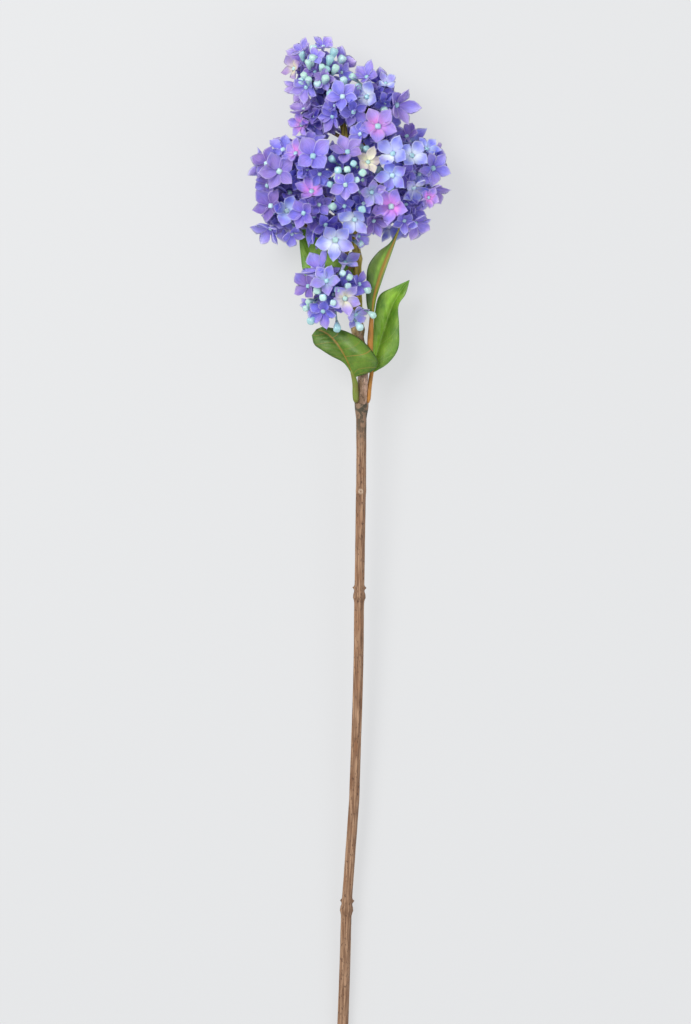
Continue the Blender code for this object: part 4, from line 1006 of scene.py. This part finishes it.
def plan_twigs(crowd):
    """Heart of each spray and where its twig leaves the shoot, clear of the other twigs."""
    points, radii = shoot_points(SHOOT_PATH)
    hearts = {}
    for name, spray in SPRAYS.items():
        x, y, lift, _, _ = spray["dome"]
        hearts[name] = Vector((x, y, shoot_height(y) + lift))
    for name, heart in hearts.items():
        crowd.add(name, rod_shape(heart - Vector((0, 0, CORE_RADIUS)),
                                  heart + Vector((0, 0, CORE_RADIUS)), CORE_RADIUS, CORE_RADIUS))
    twigs = {}
    for name, heart in hearts.items():
        for share in TWIG_SHARES:
            twig = twig_from(heart, share, points, radii)
            shape = rod_shape(twig, heart, TWIG_RADIUS + GAP, TWIG_RADIUS + GAP)
            if crowd.free(name, shape):
                break
        crowd.add(name, shape)
        twigs[name] = twig
    return hearts, twigs


def twig_from(heart, share, points, radii):
    """Point just off the shoot's skin from which a twig runs up and out to a spray's heart.

    The twig leaves the shoot lower than the heart by a share of its distance from the shoot.
    """
    level = np.interp(heart.y, [p.y for p in points], [p.x for p in points])
    away = math.hypot(heart.x - level, heart.z - shoot_height(heart.y))
    start_y = min(max(heart.y - share * away, points[9].y), points[-1].y)
    if away < 3.0 or heart.y > points[-1].y:
        start_y = points[-1].y
    x = float(np.interp(start_y, [p.y for p in points], [p.x for p in points]))
    radius = float(np.interp(start_y, [p.y for p in points], radii))
    start = Vector((x, start_y, shoot_height(start_y)))
    line = (heart - start).normalized()
    if start_y == points[-1].y:
        return start + line * (radius + TWIG_RADIUS + GAP)
    grain = (points[-1] - points[-4]).normalized()
    slant = max(0.35, math.sqrt(max(0.0, 1 - line.dot(grain) ** 2)))
    return start + line * ((radius + GAP + 0.25) / slant + TWIG_RADIUS * (1 / slant - 1) + 0.4)


def make_spot(name, kind, heart, direction, reach, radius, petals, turn, cup, tint, tilt):
    """A floret or bud on its spray: reach out from the heart along a direction, tilted a bit."""
    axis = (direction + tilt).normalized()
    return {
        "spray": name, "kind": kind, "centre": heart + direction * reach,
        "basis": turned(axis, turn), "root": heart - direction * (0.5 * CORE_RADIUS),
        "radius": radius, "petals": petals, "cup": cup, "tint": tint,
    }


def spot_shape(spot, margin=0.0):
    """Shape of a floret or of a bud."""
    if spot["kind"] == "bud":
        return bud_shape(spot, margin)
    return floret_shape(spot, margin)


def settle(crowd, spots, name, kind, direction, reach, radius, petals, turn, tint, draw, loose):
    """Place one floret or bud where it crosses no other node and stays above the surface.

    It is tried as given, then nudged in and out, turned, tilted and made a little smaller.
    """
    heart = spots["hearts"][name]
    cup = draw.uniform(*CUP_RANGE)
    facing = Vector((0.0, 0.0, FACING_FILL if loose else FACING_FRONT))
    if kind == "bud":
        facing = Vector(SPRAYS[name].get("bud_lean", facing))
    if direction.z < -0.25:
        facing = Vector()
    for attempt in range(FILL_ATTEMPTS if loose else FRONT_ATTEMPTS):
        ease = attempt / FILL_ATTEMPTS
        push = draw.uniform(-3.0, 5.0) * min(1.0, 2 * ease)
        spin = draw.uniform(-0.6, 0.6) * min(1.0, 2 * ease)
        tilt = facing + Vector([draw.uniform(-1, 1) for _ in range(3)]) * (0.05 + 0.35 * ease)
        size = radius * (1 - 0.22 * ease)
        spot = make_spot(name, kind, heart, direction, reach + push, size, petals, turn + spin,
                         cup + 0.3 * ease * draw.random(), tint, tilt)
        shape = spot_shape(spot)
        low = min(corner.z for corner in shape[0])
        if low < 0.0:
            reach += max(-2.0, low)
            continue
        if crowd.free(name, spot_shape(spot, GAP)):
            crowd.add(name, shape)
            spots["placed"].append(spot)
            return


def front_line(heart, reach, across, along):
    """Line from a spray's heart to its dome, or past its rim, at a place seen from the front."""
    x, y = across - heart.x, along - heart.y
    flat = math.hypot(x, y)
    if flat > RIM_SHARE * reach:
        return Vector((x, y, RIM_RISE * flat))
    return Vector((x, y, math.sqrt(reach ** 2 - flat ** 2)))


def plan_flowers():
    """Every floret and bud: first those seen from the front, then the rest of each dome."""
    crowd = Crowd()
    add_rods(crowd, "flower_shoot", *shoot_points(SHOOT_PATH))
    for name, leaf in LEAVES.items():
        crowd.add(name, leaf_guard(leaf))
        petiole = leaf["petiole"]
        add_rods(crowd, name, [lifted(p) for p in petiole], [p[3] for p in petiole])
    hearts, twigs = plan_twigs(crowd)
    spots = {"hearts": hearts, "twigs": twigs, "placed": []}
    for name, spray in SPRAYS.items():
        reach = spray["dome"][3]
        inner = spray.get("inner", [])
        for k, (x, y, radius, petals, turn, tint) in enumerate(spray["florets"] + inner):
            draw = random.Random(f"{SEED} {name} floret {k}")
            depth = INNER_SHARE if k >= len(spray["florets"]) else 1.0
            line = front_line(hearts[name], reach * depth, x, y)
            settle(crowd, spots, name, "floret", line.normalized(), line.length, radius, petals,
                   math.radians(turn), tint, draw, False)
    for name, spray in SPRAYS.items():
        reach = spray["dome"][3]
        for k, (x, y) in enumerate(spray["buds"]):
            draw = random.Random(f"{SEED} {name} bud {k}")
            line = front_line(hearts[name], reach, x, y)
            radius = BUD_RADIUS * draw.uniform(0.85, 1.1)
            settle(crowd, spots, name, "bud", line.normalized(), line.length + draw.uniform(1.0, 3.5),
                   radius, 4, draw.uniform(0, 3), "mint", draw, False)
    front = list(spots["placed"])
    for name, spray in SPRAYS.items():
        fill_dome(crowd, spots, front, name, spray)
    return spots


def spiral_direction(k, count, extra=0.0):
    """Direction k of a count that a spiral spreads evenly over a ball, turned on by extra."""
    level = 1 - 2 * (k + 0.5) / count
    angle = k * math.pi * (3 - math.sqrt(5)) + extra
    flat = math.sqrt(1 - level ** 2)
    return Vector((flat * math.cos(angle), flat * math.sin(angle), level))


def fill_dome(crowd, spots, front, name, spray):
    """Fill the rest of a spray's dome with florets, evenly spread over directions on a spiral."""
    x, y, lift, reach, half_angle = spray["dome"]
    heart = spots["hearts"][name]
    shoot_x = np.interp(y, [p[1] for p in SHOOT_PATH], [p[0] for p in SHOOT_PATH])
    forward = TIP_FORWARD if name == "spray_tip" else DOME_FORWARD
    outward = Vector((x - shoot_x, forward, lift)).normalized()
    for k in range(DOME_DIRECTIONS):
        draw = random.Random(f"{SEED} {name} fill {k}")
        line = spiral_direction(k, DOME_DIRECTIONS)
        if line.angle(outward) > math.radians(half_angle):
            continue
        radius = draw.uniform(*FILL_RADII) * (SMALL_DOME_SHARE if reach < SMALL_DOME else 1.0)
        spot = heart + line * reach
        if any((spot - other).length < DOME_SPACING * SPRAYS[key]["dome"][3]
               for key, other in spots["hearts"].items() if key != name):
            continue
        if crowded(spots["placed"], front, name, spot, radius, line):
            continue
        petals = draw.choice((4, 5, 5))
        settle(crowd, spots, name, "floret", line, reach, radius, petals, draw.uniform(0, 6.3),
               draw.choice(spray["tints"]), draw, True)


def crowded(placed, front, name, spot, radius, line):
    """True where a new floret would sit too near one of its own spray, or hide a front one."""
    for other in placed:
        if other["kind"] == "bud":
            continue
        apart = (other["centre"] - spot).length
        if other["spray"] == name and apart < OWN_SPACING * (other["radius"] + radius):
            return True
    for other in front:
        flat = (other["centre"] - spot).xy.length
        size = other["radius"] + radius
        above = spot.z - other["centre"].z
        if flat < FRONT_SPACING * size and above > -2.0 and line.z > -0.2:
            return True
        if other["kind"] == "bud" and flat < radius and above > -2.0:
            return True
    return False


spots = plan_flowers()

# Florets and buds. A floret is a ring of thin waxy petals, each with a pale rim and fine streaks,
# round a four-lobed mint bead at the mouth of its slim tube. A bud is a mint club on a stalk.
# Tubes and stalks meet at the end of the spray's twig, and the whole spray is one piece.

# Each tint gives the petals' body, throat and rim colours; the rim colour also tops the tube. On the
# petals it is their paler edge and tip, partly a painted highlight.
TINTS = {
    "violet": (paint(146, 138, 224), paint(118, 106, 204), paint(200, 196, 244)),
    "deep": (paint(122, 114, 208), paint(94, 82, 180), paint(176, 170, 236)),
    "blue": (paint(126, 128, 230), paint(170, 186, 244), paint(198, 204, 250)),
    "pale": (paint(144, 148, 232), paint(222, 232, 250), paint(208, 212, 250)),
    "mauve": (paint(154, 134, 208), paint(128, 110, 190), paint(196, 184, 232)),
    "plum": (paint(126, 106, 182), paint(104, 80, 158), paint(174, 160, 218)),
    "pink": (paint(158, 138, 222), paint(214, 130, 208), paint(200, 184, 240)),
    "cream": (paint(224, 219, 190), paint(236, 236, 196), paint(190, 176, 218)),
    "cream_mauve": (paint(152, 132, 178), paint(208, 202, 162), paint(146, 124, 164)),
    "lilac": (paint(158, 146, 226), paint(150, 168, 200), paint(202, 196, 244)),
    "cream_lilac": (paint(160, 148, 226), paint(210, 208, 178), paint(196, 188, 240)),
    "shadow": (paint(112, 102, 190), paint(88, 76, 164), paint(154, 146, 218)),
}
MINT = np.array([paint(200, 234, 234), paint(172, 216, 220), paint(190, 226, 216)])
STALK = np.array(paint(138, 168, 166))
TONE_LIFT, TONE_SPREAD = 1.22, 0.14
PETAL_ROWS = np.array((0.03, 0.16, 0.36, 0.56, 0.76, 0.92, 0.995))
PETAL_AROUND = 10
PETAL_WALL = 0.22
INNER_DIRECTIONS = 16
INNER_REACH = 0.5
INNER_RADII = (7.5, 9.5)
BEAD_FLORET_RADIUS = 12.0
BEAD_PROFILE = np.array(((1.7, -0.9), (1.95, 0.2), (1.8, 1.0), (1.2, 1.55), (0.35, 1.6)))
BUD_PROFILE = np.array(((0.36, -0.72), (0.50, -0.55), (0.80, -0.32), (1.0, -0.10), (0.98, 0.04),
                        (0.72, 0.13), (0.30, 0.13)))
BUD_SWELL = (1.25, 1.5)
TUBE_SHARES = np.array((0.0, 0.10, 0.24, 0.5, 0.8, 1.0))
TUBE_TAPER = np.array((1.0, 0.74, 0.58, 0.5, 0.46, 0.40))
HEART_RADIUS = 3.1
CLUB_AROUND, STALK_AROUND = 16, 8
TWIG_ROWS, TWIG_AROUND = 14, 12
SPOT_KEYS = ("centre", "basis", "root", "radius")


def gather(members, key):
    """One value of each floret or bud, as an array."""
    return np.array([spot[key] for spot in members])


def petal_rings(florets, owner, number, draws):
    """Petals as thin closed skins, one ring of points round the section at each row.

    s runs from base to tip. The half width swells as a quarter sine to the middle of the petal,
    and falls to a point as a power of one minus a power. Round the section, t is the
    cosine of the angle, from edge to edge, and the sine gives the thickness. The petal rises
    from the throat with the cup, its edges sooner than its middle, and is hollow like a spoon.
    It also stands up more or less, curls towards its tip, leans over its neighbour and bends a
    little sideways, by the petal's own draws.
    """
    radius, cup = (gather(florets, key)[owner][:, None, None] for key in ("radius", "cup"))
    count = gather(florets, "petals")[owner]
    half = np.where(count == 4, PETAL_HALF_WIDTH[4], PETAL_HALF_WIDTH[5])[:, None, None]
    curl, lean, bend, broad, wave, rise, size = (draws[:, k, None, None] for k in range(7))
    s = PETAL_ROWS[None, :, None]
    angle = angles_round(PETAL_AROUND)[None, None]
    t = np.cos(angle)
    swell = 0.26 + 0.74 * np.sin(np.pi / 2 * np.clip(s / 0.48, 0, 1))
    close = (1 - np.clip((s - 0.48) / 0.52, 0, 1) ** 1.8) ** (1.25 + 0.2 * wave)
    width = radius * half * (1.05 + 0.12 * broad) * swell * close
    x = radius * (1.01 + 0.05 * size) * (0.09 + 0.91 * s) + 0 * t
    y = width * t + 0.09 * bend * radius * s ** 2
    middle = 0.3 + 0.7 * s ** 3
    z = cup * x * (middle + (1 - middle) * t ** 2) - 0.8 * bump(x, 0.0, PETAL_WAIST * radius)
    z += radius * s ** 2 * (0.05 + 0.24 * curl) + 0.20 * lean * width * t
    z += 0.24 * rise * x + 0.42 * width * t ** 2
    z += 0.045 * radius * t ** 2 * np.sin(8 * s + 3 * wave)
    z += PETAL_WALL * np.sin(angle) * (1 - 0.5 * s)
    turn = (2 * np.pi * number / count)[:, None, None] + 0.06 * wave
    local = np.stack([x * np.cos(turn) - y * np.sin(turn),
                      x * np.sin(turn) + y * np.cos(turn), z], -1)
    bases, centres = (gather(florets, key)[owner] for key in ("basis", "centre"))
    rings = np.einsum("nij,nraj->nrai", bases, local) + centres[:, None, None]
    rings[..., 2] = above_floor(rings[..., 2])
    edge = ((1 - np.abs(t)) * width)[..., None]
    spread = np.stack(np.broadcast_arrays(0.5 + 0.5 * t, s + 0 * width), -1)
    return rings, edge, spread


def turned_skins(centres, bases, radii, heights, around, lobe=0.0):
    """Skins turned about each basis's third axis: at each height a ring of the radius there.

    Four lobes swell the rings by lobe times the cosine of four times the angle.
    """
    angle = angles_round(around)
    reach = radii[..., None] * (1 + lobe * np.cos(4 * angle))
    local = np.stack([reach * np.cos(angle), reach * np.sin(angle),
                      np.broadcast_to(heights[..., None], reach.shape)], -1)
    return np.einsum("nij,nraj->nrai", bases, local) + centres[:, None, None]


def stalk_skins(tops, roots, top_radii, root_radius):
    """Slim tubes from the florets' mouths, or stalks from the buds, down to their roots."""
    lines = tops - roots
    lengths = np.linalg.norm(lines, axis=1)
    bases = np.array([turned(Vector(line).normalized(), 0.4) for line in lines])
    wide = (TUBE_TAPER - TUBE_TAPER[-1]) / (1 - TUBE_TAPER[-1])
    radii = root_radius + (top_radii[:, None] - root_radius) * wide
    heights = -lengths[:, None] * TUBE_SHARES
    return turned_skins(tops, bases, radii, heights, STALK_AROUND)


def inner_florets(name):
    """Smaller florets halfway in, darker in the shadow tint as painted shade, evenly spread over the
    directions that a dome faces.
    """
    heart = spots["hearts"][name]
    x, _, lift, reach, half_angle = SPRAYS[name]["dome"]
    outward = Vector((x - 2.0, 4.0, lift + 12.0)).normalized()
    found = []
    for k in range(INNER_DIRECTIONS):
        draw = random.Random(f"{SEED} {name} deep {k}")
        line = spiral_direction(k, INNER_DIRECTIONS, draw.uniform(-0.3, 0.3))
        size = draw.uniform(*INNER_RADII)
        spot = make_spot(name, "floret", heart, line, INNER_REACH * reach, size,
                         draw.choice((4, 5)), draw.uniform(0, 6.3), draw.uniform(0.3, 0.6),
                         "shadow", Vector((0, 0, 0.3)))
        if line.angle(outward) < math.radians(half_angle) and spot["centre"].z > size:
            found.append(spot)
    return found


def floret_parts(florets, stream):
    """Mesh data of a spray's florets: petals, mint beads, and tubes that fade to the stalk's tone."""
    count = gather(florets, "petals")
    owner = np.repeat(np.arange(len(florets)), count)
    number = np.arange(len(owner)) - np.repeat(np.cumsum(count) - count, count)
    draws = stream.uniform(-1, 1, (len(owner), 7))
    draws[:, 1] = 0.7 + 0.3 * draws[:, 1]
    rings, edge, spread = petal_rings(florets, owner, number, draws)
    lift = TONE_LIFT + TONE_SPREAD * stream.uniform(-1, 1, (len(florets), 1, 1))
    tones = np.minimum(1.0, np.array([TINTS[spot["tint"]] for spot in florets]) * lift)
    worn = tones[owner][:, :, None, None]
    which = stream.uniform(0, 1, (len(owner), 1, 1, 1))
    centres, bases, roots, radii = (gather(florets, key) for key in SPOT_KEYS)
    size = (radii / BEAD_FLORET_RADIUS)[:, None]
    mint = MINT[stream.integers(0, len(MINT), len(florets))][:, None, None]
    beads = turned_skins(centres, bases, size * BEAD_PROFILE[:, 0], size * BEAD_PROFILE[:, 1],
                         CLUB_AROUND, 0.10)
    tubes = stalk_skins(centres - 0.4 * bases[:, :, 2], roots, 0.17 * radii, 0.6)
    fade = TUBE_SHARES[None, :, None, None]
    tube_tone = tones[:, None, None, 2] * (1 - fade) + STALK * fade
    return [closed_skins(rings, 0, map=spread, edge=edge, which=which, body=worn[:, 0],
                         throat=worn[:, 1], rim=worn[:, 2]),
            closed_skins(beads, 1, body=mint), closed_skins(tubes, 1, body=tube_tone)]


def bud_parts(buds, stream):
    """Mesh data of a spray's buds: mint clubs on slim stalks."""
    centres, bases, roots, radii = (gather(buds, key) for key in SPOT_KEYS)
    radii = radii[:, None]
    long = radii / BUD_RADIUS * BUD_LENGTH
    mint = MINT[stream.integers(0, len(MINT), len(buds))][:, None, None]
    clubs = turned_skins(centres, bases, BUD_SWELL[0] * radii * BUD_PROFILE[:, 0],
                         BUD_SWELL[1] * long * BUD_PROFILE[:, 1], CLUB_AROUND, 0.07)
    necks = centres - 0.66 * long * bases[:, :, 2]
    stalks = stalk_skins(necks, roots, np.full(len(buds), BUD_NECK_RADIUS), 0.5)
    return [closed_skins(clubs, 1, body=mint), closed_skins(stalks, 1, body=STALK)]


def twig_parts(heart, twig):
    """Mesh data of a spray's twig, and of the lobed knob at the heart where the tubes meet."""
    share = np.linspace(0, 1, TWIG_ROWS)[:, None]
    angle = angles_round(TWIG_AROUND)[None]
    thick = TWIG_RADIUS * (1.0 + 0.10 * np.cos(3 * angle + 9 * share) + 0.12 * bump(share, 0.55, 0.05))
    steep = abs(heart[2] - twig[2]) >= 0.9 * np.linalg.norm(heart - twig)
    upward = (1.0, 0.0, 0.0) if steep else (0.0, 0.0, 1.0)
    line = twig + (heart - twig) * share
    arc = np.linspace(0.12, np.pi - 0.12, 9)[None]
    knob = turned_skins(heart[None], np.eye(3)[None], HEART_RADIUS * np.sin(arc),
                        HEART_RADIUS * np.cos(arc), CLUB_AROUND, 0.08)
    return [closed_skins(rings_round(line, thick, upward)[None], 2),
            closed_skins(knob, 1, body=STALK)]


def spray_parts(name, stream):
    """Mesh data of all that makes up a spray: its florets, its buds and its twig."""
    own = [spot for spot in spots["placed"] if spot["spray"] == name]
    florets = [spot for spot in own if spot["kind"] == "floret"] + inner_florets(name)
    buds = [spot for spot in own if spot["kind"] == "bud"]
    parts = floret_parts(florets, stream)
    if buds:
        parts += bud_parts(buds, stream)
    heart, twig = (np.array(spots[key][name]) for key in ("hearts", "twigs"))
    return parts + twig_parts(heart, twig)


def petal_finish():
    """Waxy petals: a throat of its own colour, a pale rim and tip that are partly a painted highlight,
    a dark ring of painted shade round the bead, and fine streaks to the tip.
    """
    finish, tree, shader = new_finish("petal", Roughness=0.5, Subsurface_Weight=0.25,
                                      Subsurface_Scale=0.0015, Sheen_Weight=0.12,
                                      Sheen_Roughness=0.5)
    shader.inputs["Subsurface Radius"].default_value = (0.6, 0.5, 1.0)
    u, v = put(tree, "SeparateXYZ", put(tree, "UVMap", uv_map="map").outputs[0]).outputs[:2]
    which = attribute(tree, "which")
    streak_place = put(tree, "CombineXYZ", maths(tree, "MULTIPLY", u, 11.0),
                       maths(tree, "MULTIPLY", v, 1.4),
                       maths(tree, "MULTIPLY", which, 40.0)).outputs[0]
    streak = noise(tree, streak_place, 1.6, 3.0)
    cloud = noise(tree, object_place(tree), 130.0, 2.0)
    body, throat, rim = (attribute(tree, key, "Color") for key in ("body", "throat", "rim"))
    reach = maths(tree, "ADD", v, maths(tree, "MULTIPLY_ADD", streak, 0.5, -0.25))
    share = maths(tree, "MULTIPLY", ramp(tree, reach, 0.10, 0.66, 0.95, 0.0),
                  ramp(tree, which, 0.1, 0.7, 0.45, 1.0))
    drift = noise(tree, object_place(tree), 55.0, 2.0)
    body = mix(tree, ramp(tree, drift, 0.5, 0.62, 0.0, 0.45), body, paint(112, 124, 232))
    body = mix(tree, ramp(tree, drift, 0.40, 0.5, 0.4, 0.0), body, paint(172, 138, 206))
    tone = mix(tree, share, body, throat)
    # Paler towards the tip: partly the petal's own colour, partly a painted highlight
    tone = mix(tree, ramp(tree, v, 0.65, 1.0, 0.0, 0.35), tone, rim)
    shade = maths(tree, "MULTIPLY_ADD", streak, 0.5, 0.75)
    shade = maths(tree, "MULTIPLY", shade, maths(tree, "MULTIPLY_ADD", cloud, 0.5, 0.75))
    tone = shaded(tree, tone, shade)
    # Pale rim along each petal's edge: partly the petal's own paler edge, partly a painted highlight
    tone = mix(tree, ramp(tree, attribute(tree, "edge"), 0.05, 0.7, 0.62, 0.0), tone, rim)
    # Painted shade: a dark ring at the base of each petal, round the bead, where the floret's throat
    # lies in shade
    ring = ramp(tree, v, 0.02, 0.13, 0.45, 0.0)
    tone = mix(tree, ring, tone, paint(60, 44, 120))
    tree.links.new(tone, shader.inputs["Base Color"])
    add_bump(tree, shader, streak, 0.0004, 0.5)
    return finish


def wax_finish():
    """Smooth glossy wax of the beads, buds and tubes, faintly clouded."""
    finish, tree, shader = new_finish("mint_wax", Roughness=0.26, Subsurface_Weight=0.3,
                                      Subsurface_Scale=0.001, Coat_Weight=0.3,
                                      Coat_Roughness=0.12)
    shader.inputs["Subsurface Radius"].default_value = (0.5, 1.0, 0.9)
    cloud = noise(tree, object_place(tree), 500.0, 3.0)
    shade = maths(tree, "MULTIPLY_ADD", cloud, 0.4, 0.8)
    tree.links.new(shaded(tree, attribute(tree, "body", "Color"), shade),
                   shader.inputs["Base Color"])
    add_bump(tree, shader, cloud, 0.0001, 0.4)
    return finish


def twig_bark():
    """Olive to ochre skin of the thin flower twigs."""
    finish, tree, shader = new_finish("twig_bark", Roughness=0.5)
    streaks, blotches = add_grain(tree, 900.0, 0.3)[:2]
    skin = mix(tree, ramp(tree, blotches, 0.4, 0.62), paint(92, 86, 38), paint(150, 118, 62))
    tree.links.new(skin, shader.inputs["Base Color"])
    add_bump(tree, shader, streaks, 0.0003, 0.6)
    return finish


bloom_finishes = [petal_finish(), wax_finish(), twig_bark()]
for index, name in enumerate(SPRAYS):
    piece = assemble(name + "_flowers", spray_parts(name, np.random.default_rng((SEED, index))),
                     bloom_finishes)
    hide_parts(name)
    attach(piece, "root")

# Stage. The pale surface that the stem lies on, two soft lights and an even sky, and the camera,
# which looks straight down on the stem as the photo does.

FLOOR_HALF = 4.0
FLOOR_DROP = 0.0001
FLOOR_TONE = 0.20
FLOOR_GLOW = 0.70
VIEW_CENTRE = (-0.0035, 0.0284)
VIEW_HEIGHT = 0.7168
FOCUS_HEIGHT = 0.04
CAMERA_DISTANCE = 3.0
SENSOR_HEIGHT = 24.0
SKY_TONE = (0.93, 0.95, 1.0, 1.0)
SKY_STRENGTH = 0.55

floor_mesh = bpy.data.meshes.new("floor")
corners = [(-FLOOR_HALF, -FLOOR_HALF), (FLOOR_HALF, -FLOOR_HALF), (FLOOR_HALF, FLOOR_HALF),
           (-FLOOR_HALF, FLOOR_HALF)]
floor_mesh.from_pydata([(x, y, -FLOOR_DROP) for x, y in corners], [], [(0, 1, 2, 3)])
floor_finish, _, floor_shader = new_finish("floor", Roughness=0.9)
floor_shader.inputs["Base Color"].default_value = (FLOOR_TONE, FLOOR_TONE, FLOOR_TONE, 1.0)
floor_shader.inputs["Emission Color"].default_value = (0.80, 0.81, 0.82, 1.0)
floor_shader.inputs["Emission Strength"].default_value = FLOOR_GLOW
floor_mesh.materials.append(floor_finish)
floor = bpy.data.objects.new("floor", floor_mesh)
bpy.context.scene.collection.objects.link(floor)


def area_light(name, place, target, size, watts, colour):
    """A square soft light that faces a target."""
    light = bpy.data.lights.new(name, "AREA")
    light.size = size
    light.energy = watts
    light.color = colour
    lamp = bpy.data.objects.new(name, light)
    lamp.location = place
    lamp.rotation_euler = (Vector(target) - Vector(place)).to_track_quat("-Z", "Y").to_euler()
    bpy.context.scene.collection.objects.link(lamp)


area_light("key", (-1.1, 1.0, 1.9), (0.0, 0.15, 0.0), 1.2, 38.0, (1.0, 0.99, 0.97))
area_light("fill", (1.5, -0.8, 1.8), (0.0, 0.0, 0.0), 1.6, 14.0, (0.97, 0.98, 1.0))
world = bpy.data.worlds.new("studio")
world.use_nodes = True
sky = world.node_tree.nodes["Background"]
sky.inputs["Color"].default_value = SKY_TONE
sky.inputs["Strength"].default_value = SKY_STRENGTH
bpy.context.scene.world = world
bpy.context.scene.view_settings.view_transform = "Standard"

lens = bpy.data.cameras.new("camera")
lens.sensor_fit = "VERTICAL"
lens.sensor_height = SENSOR_HEIGHT
lens.lens = SENSOR_HEIGHT * CAMERA_DISTANCE / VIEW_HEIGHT
lens.clip_end = 20.0
camera = bpy.data.objects.new("camera", lens)
camera.location = (*VIEW_CENTRE, FOCUS_HEIGHT + CAMERA_DISTANCE)
bpy.context.scene.collection.objects.link(camera)
bpy.context.scene.camera = camera
